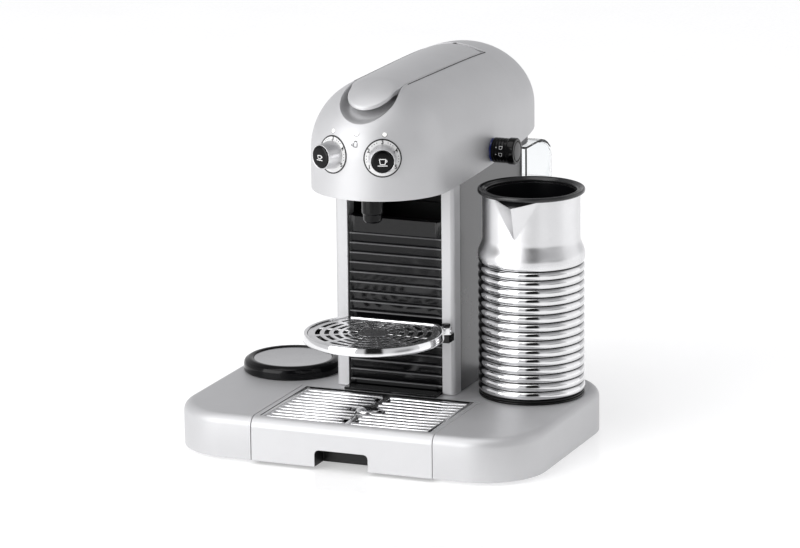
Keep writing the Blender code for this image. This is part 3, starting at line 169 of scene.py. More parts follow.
def grid_mesh(name, points, closed_u=False, closed_v=False, keep=None, ends=False):
    """A mesh over a grid of points P[u, v]; keep masks its faces, ends closes the first and last rows."""
    points = np.asarray(points, float)
    nu, nv = points.shape[:2]
    index = np.arange(nu * nv).reshape(nu, nv)
    if closed_u:
        index = np.vstack([index, index[:1]])
    if closed_v:
        index = np.hstack([index, index[:, :1]])
    quads = np.stack([index[:-1, :-1], index[:-1, 1:], index[1:, 1:], index[1:, :-1]], axis=-1)
    if keep is not None:
        quads = quads[keep]
    faces = quads.reshape(-1, 4).tolist()
    if ends:
        faces += [index[0, :nv].tolist(), index[nu - 1, :nv][::-1].tolist()]
    mesh = bpy.data.meshes.new(name)
    mesh.from_pydata(points.reshape(-1, 3).tolist(), [], faces)
    bm = bmesh.new()
    bm.from_mesh(mesh)
    bpy.data.meshes.remove(mesh)
    return tidy_mesh(bm, name)


def joined(name, meshes):
    """One mesh from several."""
    bm = bmesh.new()
    for mesh in meshes:
        bm.from_mesh(mesh)
        bpy.data.meshes.remove(mesh)
    mesh = bpy.data.meshes.new(name)
    bm.to_mesh(mesh)
    bm.free()
    return mesh


def frame_of(direction):
    """Three axes: two across a direction, and the direction itself."""
    out = Vector(direction).normalized()
    across = Vector((0, 0, 1)).cross(out)
    if across.length < 1e-6:
        across = Vector((1, 0, 0))
    across.normalize()
    return np.array(across), np.array(out.cross(across)), np.array(out)


def turned_mesh(name, profile, centre, direction=(0, 0, 1), steps=96, closed=False):
    """A profile (radius, height) carried round an axis: P = centre + r cos a * i + r sin a * j + h * k."""
    profile = np.asarray(profile, float)
    angles = np.linspace(0, 2 * np.pi, steps, endpoint=False)
    i, j, k = frame_of(direction)
    radius, height = profile[:, 0], profile[:, 1]
    spin = np.cos(angles)[None, :, None] * i + np.sin(angles)[None, :, None] * j
    points = np.array(centre) + radius[:, None, None] * spin + height[:, None, None] * k
    return grid_mesh(name, points, closed_u=closed, closed_v=True)


def rounded(profile, radius, steps=4, closed=False):
    """A polyline with its corners replaced by arcs that start and end a given length from each corner."""
    points = [np.array(p, float) for p in profile]
    count = len(points)
    result = []
    for n, here in enumerate(points):
        if not closed and n in (0, count - 1):
            result.append(here)
            continue
        before, after = points[n - 1], points[(n + 1) % count]
        back, ahead = before - here, after - here
        reach = min(radius, 0.45 * np.linalg.norm(back), 0.45 * np.linalg.norm(ahead))
        start = here + back / np.linalg.norm(back) * reach
        end = here + ahead / np.linalg.norm(ahead) * reach
        for t in np.linspace(0, 1, steps + 1):
            result.append((1 - t) ** 2 * start + 2 * t * (1 - t) * here + t**2 * end)
    return np.array(result)


def rounded_rectangle(low_corner, high_corner, corner, steps=10):
    """plan(inset): a rectangle with round corners, shrunk by inset on every side."""
    (x0, y0), (x1, y1) = low_corner, high_corner
    quarter = np.linspace(0, np.pi / 2, steps)

    def plan(inset):
        r = max(corner - inset, 0.05 * MM)
        centres = [(x1 - inset - r, y0 + inset + r), (x1 - inset - r, y1 - inset - r)]
        centres += [(x0 + inset + r, y1 - inset - r), (x0 + inset + r, y0 + inset + r)]
        turns = [-np.pi / 2, 0, np.pi / 2, np.pi]
        arcs = []
        for (cx, cy), turn in zip(centres, turns):
            arcs.append(np.column_stack([cx + r * np.cos(quarter + turn), cy + r * np.sin(quarter + turn)]))
        return np.vstack(arcs)

    return plan


def risen_mesh(name, plan, profile, steps_closed=False, fan=True):
    """Rings plan(inset) at height z for each (inset, z) of a profile, closed at both ends."""
    rings = [np.column_stack([plan(i), np.full(len(plan(i)), z)]) for i, z in profile]
    if not fan:
        return grid_mesh(name, rings, closed_v=True, ends=True)
    first, last = rings[0], rings[-1]
    rings.insert(0, np.tile(first.mean(axis=0), (len(first), 1)))
    rings.append(np.tile(last.mean(axis=0), (len(last), 1)))
    return grid_mesh(name, rings, closed_u=steps_closed, closed_v=True)


def brick(name, low_corner, high_corner, edge=0.4 * MM):
    """A box with rounded upright edges and rounded top and bottom edges."""
    (x0, y0, z0), (x1, y1, z1) = low_corner, high_corner
    plan = rounded_rectangle((x0, y0), (x1, y1), edge * 1.2, 4)
    steps = np.linspace(0, np.pi / 2, 4)
    profile = [(edge * (1 - math.sin(a)), z0 + edge * (1 - math.cos(a))) for a in steps]
    profile += [(edge * (1 - math.cos(a)), z1 - edge * (1 - math.sin(a))) for a in steps]
    return risen_mesh(name, plan, profile)


def refined(node, mats, edge=0.35 * MM, angle=40, chooser=None):
    """A copy of a CAD node with its points merged, its edges rounded and its curves shaded smooth."""
    source = frame["nodes"][node]
    bm = bmesh.new()
    bm.from_mesh(source.data)
    bmesh.ops.remove_doubles(bm, verts=bm.verts, dist=2e-6)
    bmesh.ops.dissolve_limit(bm, angle_limit=math.radians(1.0), verts=bm.verts, edges=bm.edges)
    mesh = bpy.data.meshes.new(node + "_finish")
    bm.to_mesh(mesh)
    bm.free()
    obj = new_piece(node + "_finish", mesh, mats, source["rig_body"], node)
    if chooser:
        for face in mesh.polygons:
            face.material_index = chooser(Vector(face.center), Vector(face.normal))
    if edge:
        bevel = obj.modifiers.new("round_edges", "BEVEL")
        bevel.width = edge
        bevel.segments = 2
        bevel.limit_method = "ANGLE"
        bevel.angle_limit = math.radians(angle)
        bevel.harden_normals = False
    even_normals(smooth(obj, angle))
    return obj


def ribbon(points, width, lift, place):
    """A flat stroke along a 2-D polyline: both sides lie half a width off it along its normals."""
    line = np.asarray(points, float)
    along = np.gradient(line, axis=0)
    along /= np.linalg.norm(along, axis=1)[:, None] + 1e-12
    side = np.column_stack([-along[:, 1], along[:, 0]]) * width / 2
    flat = np.stack([line - side, line + side], axis=1)
    return place(flat[..., 0], flat[..., 1], lift)


def ribbons_mesh(name, strokes, width, lift, place):
    meshes = [grid_mesh(name + "_part", ribbon(s, width, lift, place)) for s in strokes]
    return joined(name, meshes)


def circle_line(x, y, radius, start=0, end=360, steps=24):
    """Points of an arc, angles in degrees."""
    angles = np.radians(np.linspace(start, end, steps))
    return np.column_stack([x + radius * np.cos(angles), y + radius * np.sin(angles)])


# ---- the head's form -----------------------------------------------------------------------------------


def head_shares(y):
    """Width and height shares: sqrt(1 - s^2) in the round front, (1 - u^n)^(1/n) at the blunt back."""
    y = np.asarray(y, float)
    s = np.clip((DOME_Y - y) / HEAD_HALF, 0, 1)
    u = np.clip((y - ROUND_START) / (HEAD_BACK - ROUND_START), 0, 1)
    front = np.sqrt(np.maximum(1 - s**2, 0))
    width = front * (1 - u**8.5) ** (1 / 8.5)
    rise = front * (1 - u**5.5) ** (1 / 5.5)
    return width, rise


def head_top(x, y, drop=0.0):
    """Height of the head's arch over a point of the plan, less a drop."""
    width, rise = head_shares(y)
    half = np.maximum(HEAD_HALF * width, 1e-6)
    return ARCH_Z + ARCH_RISE * rise * np.sqrt(np.clip(1 - (x / half) ** 2, 0, 1)) - drop


def rim_height(y):
    return HEAD_RIM + RIM_RISE * np.maximum(np.asarray(y) - DOME_Y, 0) ** 2


def ease(t):
    t = np.clip(t, 0, 1)
    return t * t * (3 - 2 * t)


def outline_half(y, tip, radius, grow, rear):
    """Half width of the lever's outline: a round end, an eased neck, then straight sides."""
    y = np.asarray(y, float)
    centre = tip + radius
    ahead = np.clip((centre - y) / radius, 0, 1)
    round_end = radius * np.sqrt(np.maximum(1 - ahead**2, 0))
    neck = radius + (NECK + grow - radius) * ease((y - centre) / (NECK_Y - centre))
    side = (LEVER_HALF - NECK) * np.clip((y - NECK_Y) / (rear - NECK_Y), 0, 1)
    return np.where(y < centre, round_end, neck + side)


def outline_distance(x, y, tip, radius, grow, rear):
    """Distance of a point inside the outline from its edge."""
    centre = tip + radius
    in_round = radius - np.sqrt(x**2 + (centre - y) ** 2)
    in_side = outline_half(y, tip, radius, grow, rear) - np.abs(x)
    return np.maximum(np.where(y < centre, in_round, in_side), 0)


def opening_half(y):
    return outline_half(y, SCOOP_TIP, SCOOP, SEAM, OPENING_REAR)


def round_rows(tip, radius, count):
    """Rows along Y that follow an arc in equal turns, from its tip to its widest place."""
    turn = np.linspace(0, np.pi / 2, count)
    return tip + radius * (1 - np.cos(turn))


def on_dome(around, z, lift=0.0):
    """A point on the head's front: turned about the dome's upright axis, pushed out by lift."""
    up = np.clip((z - ARCH_Z) / ARCH_RISE, 0, 1)
    radius = HEAD_HALF * np.sqrt(1 - up**2) + lift
    return np.stack([radius * np.sin(around), DOME_Y - radius * np.cos(around), z], axis=-1)


def dial_place(side):
    """place(u, v, lift) on the head round one dial: u runs round the dome, v runs up."""

    def place(u, v, lift):
        u, v = np.asarray(u, float), np.asarray(v, float)
        around = side * DIAL_ANGLE + u / HEAD_HALF
        return on_dome(around, DIAL_Z + v, lift)

    return place


def plane_place(centre, direction):
    """place(u, v, lift) on a plane through centre, square to direction."""
    i, j, k = frame_of(direction)

    def place(u, v, lift):
        u, v = np.asarray(u, float), np.asarray(v, float)
        return np.array(centre) + u[..., None] * i + v[..., None] * j + lift * k

    return place


# ---- material groups -----------------------------------------------------------------------------------


def new_group(name, inputs, outputs):
    tree = bpy.data.node_groups.new(name, "ShaderNodeTree")
    for label, kind, default in inputs:
        socket = tree.interface.new_socket(name=label, in_out="INPUT", socket_type=kind)
        socket.default_value = default
    for label, kind in outputs:
        tree.interface.new_socket(name=label, in_out="OUTPUT", socket_type=kind)
    return tree, tree.nodes.new("NodeGroupInput"), tree.nodes.new("NodeGroupOutput")


def wire(tree, *pairs):
    for source, target in pairs:
        tree.links.new(source, target)


def math_node(tree, operation, first, second=None, clamp=False):
    node = tree.nodes.new("ShaderNodeMath")
    node.operation = operation
    node.use_clamp = clamp
    for socket, value in zip(node.inputs, (first, second)):
        if value is None:
            continue
        if isinstance(value, (int, float)):
            socket.default_value = value
        else:
            tree.links.new(value, socket)
    return node.outputs[0]


def noise_node(tree, coordinate, scale, detail=3.0, roughness=0.5):
    node = tree.nodes.new("ShaderNodeTexNoise")
    tree.links.new(coordinate, node.inputs["Vector"])
    node.inputs["Detail"].default_value = detail
    node.inputs["Roughness"].default_value = roughness
    if isinstance(scale, (int, float)):
        node.inputs["Scale"].default_value = scale
    else:
        tree.links.new(scale, node.inputs["Scale"])
    return node.outputs["Fac"]


def mix_colours(tree, factor, first, second, blend="MIX"):
    node = tree.nodes.new("ShaderNodeMix")
    node.data_type = "RGBA"
    node.blend_type = blend
    for socket, value in ((node.inputs[0], factor), (node.inputs[6], first), (node.inputs[7], second)):
        if isinstance(value, (int, float, tuple)):
            socket.default_value = value
        else:
            tree.links.new(value, socket)
    return node.outputs[2]


def surface_variation_group():
    """Cloudy tone and roughness over a surface, with a fine grain for its height."""
    tree, inp, out = new_group(
        "surface_variation",
        [
            ("Colour", "NodeSocketColor", (0.5, 0.5, 0.5, 1)),
            ("Second Colour", "NodeSocketColor", (0.4, 0.4, 0.4, 1)),
            ("Roughness", "NodeSocketFloat", 0.4),
            ("Roughness Spread", "NodeSocketFloat", 0.1),
            ("Cloud Scale", "NodeSocketFloat", 18.0),
            ("Grain Scale", "NodeSocketFloat", 1500.0),
        ],
        [("Colour", "NodeSocketColor"), ("Roughness", "NodeSocketFloat"), ("Height", "NodeSocketFloat")],
    )
    place = tree.nodes.new("ShaderNodeTexCoord").outputs["Object"]
    cloud = noise_node(tree, place, inp.outputs["Cloud Scale"], 4.0, 0.6)
    grain = noise_node(tree, place, inp.outputs["Grain Scale"], 2.0, 0.5)
    both = math_node(tree, "MULTIPLY", cloud, grain)
    mask = math_node(tree, "MULTIPLY", both, 2.6, clamp=True)
    colour = mix_colours(tree, mask, inp.outputs["Second Colour"], inp.outputs["Colour"])
    centred = math_node(tree, "SUBTRACT", cloud, 0.5)
    spread = math_node(tree, "MULTIPLY", centred, inp.outputs["Roughness Spread"])
    rough = math_node(tree, "ADD", spread, inp.outputs["Roughness"], clamp=True)
    wire(
        tree, (colour, out.inputs["Colour"]), (rough, out.inputs["Roughness"]),
        (grain, out.inputs["Height"])
    )
    return tree


def edge_wear_group():
    """A mask along outer edges, broken up by noise."""
    tree, inp, out = new_group(
        "edge_wear",
        [("Amount", "NodeSocketFloat", 0.4), ("Scale", "NodeSocketFloat", 300.0)],
        [("Mask", "NodeSocketFloat")],
    )
    bend = tree.nodes.new("ShaderNodeNewGeometry").outputs["Pointiness"]
    sharp = math_node(tree, "SUBTRACT", bend, 0.52)
    strong = math_node(tree, "MULTIPLY", sharp, 12.0, clamp=True)
    place = tree.nodes.new("ShaderNodeTexCoord").outputs["Object"]
    broken = noise_node(tree, place, inp.outputs["Scale"], 3.0, 0.6)
    mask = math_node(tree, "MULTIPLY", strong, broken)
    mask = math_node(tree, "MULTIPLY", mask, inp.outputs["Amount"], clamp=True)
    wire(tree, (mask, out.inputs["Mask"]))
    return tree


def rib_painted_light_group():
    """A mask round one height in every rib below Top: 1 at Centre, 0 at Width from it (shares of Pitch); it
    lays painted shade or painted highlights along the ribs.
    """
    tree, inp, out = new_group(
        "rib_painted_light",
        [
            ("Bottom", "NodeSocketFloat", 0.0), ("Top", "NodeSocketFloat", 1.0), (
                "Pitch", "NodeSocketFloat", 0.01
            ),
            ("Centre", "NodeSocketFloat", 0.0), ("Width", "NodeSocketFloat", 0.2),
        ],
        [("Mask", "NodeSocketFloat"), ("Above", "NodeSocketFloat")],
    )
    split = tree.nodes.new("ShaderNodeSeparateXYZ")
    wire(tree, (tree.nodes.new("ShaderNodeTexCoord").outputs["Object"], split.inputs["Vector"]))
    z = split.outputs["Z"]
    share = math_node(
        tree, "DIVIDE", math_node(tree, "SUBTRACT", z, inp.outputs["Bottom"]), inp.outputs["Pitch"]
    )
    share = math_node(tree, "SUBTRACT", share, inp.outputs["Centre"])
    away = math_node(tree, "ABSOLUTE", math_node(tree, "SUBTRACT", share, math_node(tree, "ROUND", share)))
    near = math_node(tree, "SUBTRACT", 1.0, math_node(tree, "DIVIDE", away, inp.outputs["Width"]), clamp=True)
    below = math_node(tree, "LESS_THAN", z, inp.outputs["Top"])
    wire(tree, (math_node(tree, "MULTIPLY", near, below), out.inputs["Mask"]))
    over = math_node(tree, "SUBTRACT", z, inp.outputs["Top"])
    wire(tree, (math_node(tree, "MULTIPLY", over, 220.0, clamp=True), out.inputs["Above"]))
    return tree


def brushed_group():
    """Fine lines drawn along one axis: noise on coordinates squeezed across the lines."""
    tree, inp, out = new_group(
        "brushed_lines",
        [("Squeeze", "NodeSocketVector", (1.0, 1.0, 40.0)), ("Scale", "NodeSocketFloat", 120.0)],
        [("Height", "NodeSocketFloat"), ("Mask", "NodeSocketFloat")],
    )
    place = tree.nodes.new("ShaderNodeTexCoord").outputs["Object"]
    mapping = tree.nodes.new("ShaderNodeMapping")
    wire(tree, (place, mapping.inputs["Vector"]), (inp.outputs["Squeeze"], mapping.inputs["Scale"]))
    fine = noise_node(tree, mapping.outputs["Vector"], inp.outputs["Scale"], 4.0, 0.7)
    centred = math_node(tree, "SUBTRACT", fine, 0.3)
    mask = math_node(tree, "MULTIPLY", centred, 2.2, clamp=True)
    wire(tree, (fine, out.inputs["Height"]), (mask, out.inputs["Mask"]))
    return tree


def dust_group():
    """A thin settling of dust on faces that look up, thicker where the noise is high."""
    tree, inp, out = new_group(
        "settled_dust",
        [("Amount", "NodeSocketFloat", 0.1), ("Scale", "NodeSocketFloat", 60.0)],
        [("Mask", "NodeSocketFloat")],
    )
    normal = tree.nodes.new("ShaderNodeNewGeometry").outputs["Normal"]
    split = tree.nodes.new("ShaderNodeSeparateXYZ")
    tree.links.new(normal, split.inputs[0])
    facing = math_node(tree, "SUBTRACT", split.outputs["Z"], 0.3, clamp=True)
    place = tree.nodes.new("ShaderNodeTexCoord").outputs["Object"]
    cloud = noise_node(tree, place, inp.outputs["Scale"], 5.0, 0.65)
    mask = math_node(tree, "MULTIPLY", facing, cloud)
    mask = math_node(tree, "MULTIPLY", mask, inp.outputs["Amount"], clamp=True)
    wire(tree, (mask, out.inputs["Mask"]))
    return tree


GROUPS = {}
MATS = {}


def group(mat, name, **values):
    if name not in GROUPS:
        makers = {
            "surface_variation": surface_variation_group,
            "edge_wear": edge_wear_group,
            "brushed_lines": brushed_group,
            "rib_painted_light": rib_painted_light_group,
            "settled_dust": dust_group,
        }
        GROUPS[name] = makers[name]()
    node = mat.node_tree.nodes.new("ShaderNodeGroup")
    node.node_tree = GROUPS[name]
    for label, value in values.items():
        node.inputs[label.replace("_", " ").title()].default_value = value
    return node


def finish(
    name,
    colour,
    roughness,
    metallic=0.0,
    second=None,
    spread=0.08,
    cloud=18.0,
    grain=1500.0,
    bump=0.02,
    wear=None,
    wear_colour=(0.75, 0.75, 0.76),
    dust=0.0,
    brushed=None,
    painted_rib_lines=None,
    painted_line_colour=(0.02, 0.02, 0.02),
    above_roughness=0.0,
    **sockets,
):
    """A material: cloudy tone and roughness, fine grain, worn edges, dust, brushed lines and painted shade or
    highlight lines on ribs, as asked.
    """
    if name in MATS:
        return MATS[name]
    mat = bpy.data.materials.new(name)
    mat.use_nodes = True
    tree = mat.node_tree
    shader = tree.nodes["Principled BSDF"]
    shader.inputs["Metallic"].default_value = metallic
    for label, value in sockets.items():
        shader.inputs[label.replace("_", " ").title().replace("Ior", "IOR")].default_value = value
    second = second or tuple(0.86 * c for c in colour)
    base = group(
        mat,
        "surface_variation",
        colour=(*colour, 1),
        second_colour=(*second, 1),
        roughness=roughness,
        roughness_spread=spread,
        cloud_scale=cloud,
        grain_scale=grain,
    )
    tone, rough = base.outputs["Colour"], base.outputs["Roughness"]
    height = base.outputs["Height"]
    if wear:
        worn = group(mat, "edge_wear", amount=wear).outputs["Mask"]
        tone = mix_colours(tree, worn, tone, (*wear_colour, 1))
    # painted light on ribs: a colour laid along one height of every rib, as painted shade in the jug's
    # valleys and as a painted highlight on the container's rib edges
    if painted_rib_lines:
        shaded = group(mat, "rib_painted_light", **painted_rib_lines)
        tone = mix_colours(tree, shaded.outputs["Mask"], tone, (*painted_line_colour, 1))
        softer = math_node(tree, "MULTIPLY", shaded.outputs["Above"], above_roughness)
        rough = math_node(tree, "ADD", rough, softer, clamp=True)
    if dust:
        settled = group(mat, "settled_dust", amount=dust).outputs["Mask"]
        tone = mix_colours(tree, settled, tone, (0.55, 0.54, 0.52, 1))
        rough = math_node(tree, "ADD", rough, settled, clamp=True)
    if brushed:
        lines = group(mat, "brushed_lines", squeeze=brushed)
        height = lines.outputs["Height"]
        streak = math_node(tree, "MULTIPLY", lines.outputs["Mask"], 0.12)
        rough = math_node(tree, "ADD", rough, streak, clamp=True)
    bump_node = tree.nodes.new("ShaderNodeBump")
    bump_node.inputs["Strength"].default_value = bump
    bump_node.inputs["Distance"].default_value = 0.0004
    wire(
        tree,
        (tone, shader.inputs["Base Color"]),
        (rough, shader.inputs["Roughness"]),
        (height, bump_node.inputs["Height"]),
        (bump_node.outputs["Normal"], shader.inputs["Normal"]),
    )
    MATS[name] = mat
    return mat


def silver():
    looks = bpy.context.scene.machine_looks
    colour = tuple(looks.silver)
    return finish(
        "satin_silver", colour, looks.silver_roughness, 0.55, second=tuple(0.93 * c for c in colour),
        spread=0.05, cloud=30, grain=6000, bump=0.03,
    )


def panel_silver():
    # painted shade: the side panels are silver, darkened to stand in for the shade between the column and the
    # jug
    return finish(
        "silver_painted_shade", (0.11, 0.11, 0.112), 0.28, 0.85, spread=0.06, cloud=30, grain=6000, bump=0.03
    )


def chrome():
    return finish("polished_chrome", (0.86, 0.86, 0.87), 0.09, 1.0, spread=0.04, cloud=45, bump=0.0012)


def satin_chrome():
    return finish(
        "satin_chrome", (0.80, 0.80, 0.81), 0.24, 1.0, spread=0.04, cloud=45, grain=4000, bump=0.004
    )


def polished_steel():
    bottom = low("jug_sleeve").z
    top = bottom + bpy.context.scene.machine_looks.jug_ribs * RIB_PITCH
    # painted shade: dark lines in the valleys between the jug's ribs; above the ribs the steel only turns
    # rougher
    return finish(
        "polished_steel", (0.80, 0.80, 0.81), 0.08, 1.0, spread=0.04, cloud=25, grain=3000, bump=0.0015,
        painted_rib_lines={"bottom": bottom, "top": top + 2 * MM, "pitch": RIB_PITCH, "centre": 0.0, "width": 0.13},
        above_roughness=0.26,
    )


def brushed_steel():
    return finish(
        "brushed_steel", (0.68, 0.68, 0.69), 0.28, 1.0, spread=0.06, bump=0.12, brushed=(30, 30, 1)
    )


def black_gloss():
    return finish(
        "gloss_black", (0.003, 0.003, 0.0035), 0.14, spread=0.08, cloud=30, bump=0.006, dust=0.003,
        specular_ior_level=0.2,
    )


def black_satin():
    return finish(
        "satin_black", (0.006, 0.006, 0.0065), 0.4, spread=0.10, grain=3500, bump=0.10, dust=0.01, wear=0.2,
        wear_colour=(0.05, 0.05, 0.05), specular_ior_level=0.25,
    )


def black_ribbed():
    start, end = low("capsule_container").z + FRONT_FOOT, high("capsule_container").z - FRONT_STRIP
    pitch = (end - start) / bpy.context.scene.machine_looks.front_ribs
    # painted highlight: a pale line along the upper edge of every rib on the container's front
    return finish(
        "ribbed_black", (0.003, 0.003, 0.0035), 0.12, spread=0.06, bump=0.006, specular_ior_level=0.22,
        painted_rib_lines={"bottom": start, "top": end + 1.2 * MM, "pitch": pitch, "centre": 0.90, "width": 0.09},
        painted_line_colour=(0.22, 0.22, 0.225),
    )


def rubber():
    return finish("black_rubber", (0.022, 0.022, 0.022), 0.72, spread=0.12, grain=2500, bump=0.25, dust=0.06)


def grey_plastic():
    return finish(
        "dark_grey_plastic", (0.10, 0.10, 0.105), 0.45, spread=0.08, grain=3000, bump=0.12, dust=0.04
    )


def white_face():
    return finish("white_enamel", (0.80, 0.80, 0.80), 0.35, spread=0.05, grain=3000, bump=0.01)


def ink(name, colour):
    return finish(name, colour, 0.45, spread=0.05, grain=2500, bump=0.01)


def clear_plastic():
    if "clear_plastic" in MATS:
        return MATS["clear_plastic"]
    mat = finish(
        "clear_plastic", (0.97, 0.98, 0.98), 0.03, second=(0.95, 0.96, 0.97), spread=0.02, bump=0.002,
        transmission_weight=1.0, ior=1.12,
    )
    tree = mat.node_tree
    shader = tree.nodes["Principled BSDF"]
    tone = shader.inputs["Base Color"].links[0].from_socket
    # painted shade: the clear plastic darkens where it is seen edge-on, standing in for the dark band its
    # edges show
    facing = tree.nodes.new("ShaderNodeLayerWeight")
    facing.inputs["Blend"].default_value = 0.35
    edge = math_node(tree, "POWER", facing.outputs["Facing"], 5.0)
    edge = math_node(tree, "MULTIPLY", edge, 0.85, clamp=True)
    tree.links.new(mix_colours(tree, edge, tone, (0.12, 0.13, 0.13, 1)), shader.inputs["Base Color"])
    return mat


# ---- settings ------------------------------------------------------------------------------------------


class MachineLooks(bpy.types.PropertyGroup):
    """Sizes and colours of the machine's finish."""

    silver: bpy.props.FloatVectorProperty(
        name="Silver", description="Colour of the silver covers", size=3, subtype="COLOR",
        default=(0.62, 0.62, 0.63), min=0, max=1,
    )
    silver_roughness: bpy.props.FloatProperty(
        name="Silver Roughness", description="How satin the silver covers are", default=0.5, min=0, max=1
    )
    jug_ribs: bpy.props.IntProperty(
        name="Jug Ribs", description="Number of ribs round the frothing jug", default=15, min=3, max=40
    )
    jug_rib_depth: bpy.props.FloatProperty(
        name="Rib Depth", description="Depth of the valleys between the jug's ribs",
        default=2.6 * MM, unit="LENGTH"
    )
    grid_bars: bpy.props.IntProperty(
        name="Grid Bars", description="Number of bars in the drip grid", default=11, min=5, max=21
    )
    front_ribs: bpy.props.IntProperty(
        name="Front Ribs", description="Number of ribs on the capsule container", default=15, min=4, max=30
    )
    scoop_depth: bpy.props.FloatProperty(
        name="Scoop Depth", description="Depth of the finger scoop under the lever",
        default=13 * MM, unit="LENGTH"
    )
    indicator: bpy.props.FloatVectorProperty(
        name="Frother Light", description="Colour of the light round the frother knob",
        size=3, subtype="COLOR",
        default=(0.01, 0.02, 0.14), min=0, max=1,
    )


# ---- base ----------------------------------------------------------------------------------------------


def base_plan(inset):
    """The base seen from above; only the wings' outer edges move in by inset."""
    front, top = low("base_shell").y, high("base_shell")
    half, corner = top.x, 57 * MM
    back = front + 244 * MM
    bay_half, bay_back = high("drip_drawer").x + 0.6 * MM, high("drip_drawer").y + 0.6 * MM
    tail, tail_corner = 62 * MM, 14 * MM
    r = corner - inset
    quarter = np.linspace(0, np.pi / 2, 24)
    right = [np.array([[bay_half, bay_back], [bay_half, front + inset]])]
    for cy, turn in ((front + corner, -np.pi / 2), (back - corner, 0)):
        right.append(
            np.column_stack([half - corner + r * np.cos(quarter + turn), cy + r * np.sin(quarter + turn)])
        )
    right.append(np.array([[tail, back - inset]]))
    cx, cy = tail - tail_corner, top.y - tail_corner
    right.append(np.column_stack([cx + tail_corner * np.cos(quarter), cy + tail_corner * np.sin(quarter)]))
    right = np.vstack(right)
    return np.vstack([right, right[::-1] * [-1, 1]])


class MACHINE_OT_base(bpy.types.Operator):
    """Silver base with its two wings, black bottom plate and rubber feet"""

    bl_idname = "machine.base"
    bl_label = "Base"

    def execute(self, context):
        fillet, bottom = 9 * MM, TABLE_GAP
        turns = np.linspace(0, np.pi / 2, 10)
        profile = [(0.8 * MM, bottom), (0.2 * MM, bottom + 0.3 * MM), (0.0, bottom + 0.8 * MM)]
        profile += [(fillet * (1 - math.cos(a)), BASE_TOP - fillet * (1 - math.sin(a))) for a in turns]
        mesh = risen_mesh("base_cover", base_plan, profile, fan=False)
        smooth(new_piece("base_cover", mesh, silver(), "machine", "base_shell"), 50)
        refined("base_plate", black_satin(), 0.2 * MM)
        for side in ("left", "right"):
            for end in ("front", "rear"):
                node = f"foot_{end}_{side}"
                centre, r = middle(node), (high(node).x - low(node).x) / 2
                top = high(node).z
                profile = rounded([(0, 0), (r - 1 * MM, 0), (r, top * 0.5), (r, top), (0, top)], 0.6 * MM)
                mesh = turned_mesh(node + "_finish", profile, (centre.x, centre.y, 0), steps=40)
                smooth(new_piece(node + "_finish", mesh, rubber(), "machine", node))
        refined("cord_inlet", rubber(), 0.3 * MM)
        return {"FINISHED"}


class MACHINE_OT_warmer(bpy.types.Operator):
    """Round cup warmer on the left wing: black ring, bright metal disc"""

    bl_idname = "machine.warmer"
    bl_label = "Cup Warmer"

    def execute(self, context):
        body, plate = "cup_warmer_body", "cup_warmer_plate"
        centre = middle(body)
        r, h = (high(body).x - low(body).x) / 2, high(body).z - low(body).z
        well = (high(plate).x - low(plate).x) / 2
        outline = [
            (0, h - 3.4 * MM), (well + 0.3 * MM, h - 3.4 * MM), (well + 0.3 * MM, h - 0.6 * MM),
            (well + 2.0 * MM, h), (r - 5 * MM, h), (r - 1.2 * MM, h - 2.2 * MM), (r, h - 5 * MM), (
                r, 0.8 * MM
            ),
            (r - 0.8 * MM, 0), (0, 0),
        ]
        profile = rounded(outline, 0.9 * MM, 5)
        at = (centre.x, centre.y, low(body).z)
        mesh = turned_mesh("warmer_ring", profile, at, steps=128)
        smooth(new_piece("warmer_ring", mesh, black_gloss(), "machine", body))
        top = high(plate).z - low(body).z
        profile = rounded(
            [(0, top - 0.2 * MM), (well - 1.6 * MM, top - 0.2 * MM), (well - 1.2 * MM, top), (well, top),
             (well, top - 2 * MM), (0, top - 2 * MM)], 0.3 * MM, 3,
        )
        mesh = turned_mesh("warmer_disc", profile, at, steps=128)
        steel = finish(
            "warmer_steel", (0.55, 0.55, 0.56), 0.10, 1.0, spread=0.08, cloud=60, bump=0.03, brushed=(
                1, 30, 1
            )
        )
        smooth(new_piece("warmer_disc", mesh, steel, "machine", plate))
        return {"FINISHED"}


# ---- drip drawer ---------------------------------------------------------------------------------------


class MACHINE_OT_drawer(bpy.types.Operator):
    """Drip drawer with its finger pocket, and the tongue that joins it to the container"""

    bl_idname = "machine.drawer"
    bl_label = "Drip Drawer"

    def execute(self, context):
        inside = high("drip_grid")
        front = low("drip_drawer").y

        def chooser(centre, normal):
            in_well = abs(centre.x) < inside.x + 1 * MM and low("drip_grid").y - 1 * MM < centre.y
            below = centre.z < BASE_TOP - 0.5 * MM and centre.z > TABLE_GAP + 1 * MM
            pocket = abs(centre.x) < 26 * MM and centre.z < 20 * MM and centre.y > front + 0.5 * MM
            return 1 if (in_well and below and centre.y > front + 1 * MM) or pocket else 0

        refined("drip_drawer", [silver(), black_satin()], 0.4 * MM, 40, chooser)
        refined("module_floor", black_gloss(), 0.3 * MM)
        return {"FINISHED"}


def bar_mesh(name, x0, x1, y, width, z0, z1):
    """A rounded bar along X: a half-ellipse section over a flat foot, closed at both ends."""
    turn = np.linspace(0, np.pi, 11)
    section = np.column_stack([y + width / 2 * np.cos(turn), z0 + (z1 - z0) * np.sin(turn) ** 0.5])
    reach = min(1.2 * MM, (x1 - x0) / 3)
    stations = [(x0, 0.55), (x0 + 0.3 * reach, 0.85), (x0 + reach, 1), (x1 - reach, 1)]
    stations += [(x1 - 0.3 * reach, 0.85), (x1, 0.55)]
    rows = []
    for x, share in stations:
        ys = y + (section[:, 0] - y) * share
        zs = z0 + (section[:, 1] - z0) * share
        rows.append(np.column_stack([np.full(len(ys), x), ys, zs]))
    return grid_mesh(name, rows, closed_v=True, ends=True)


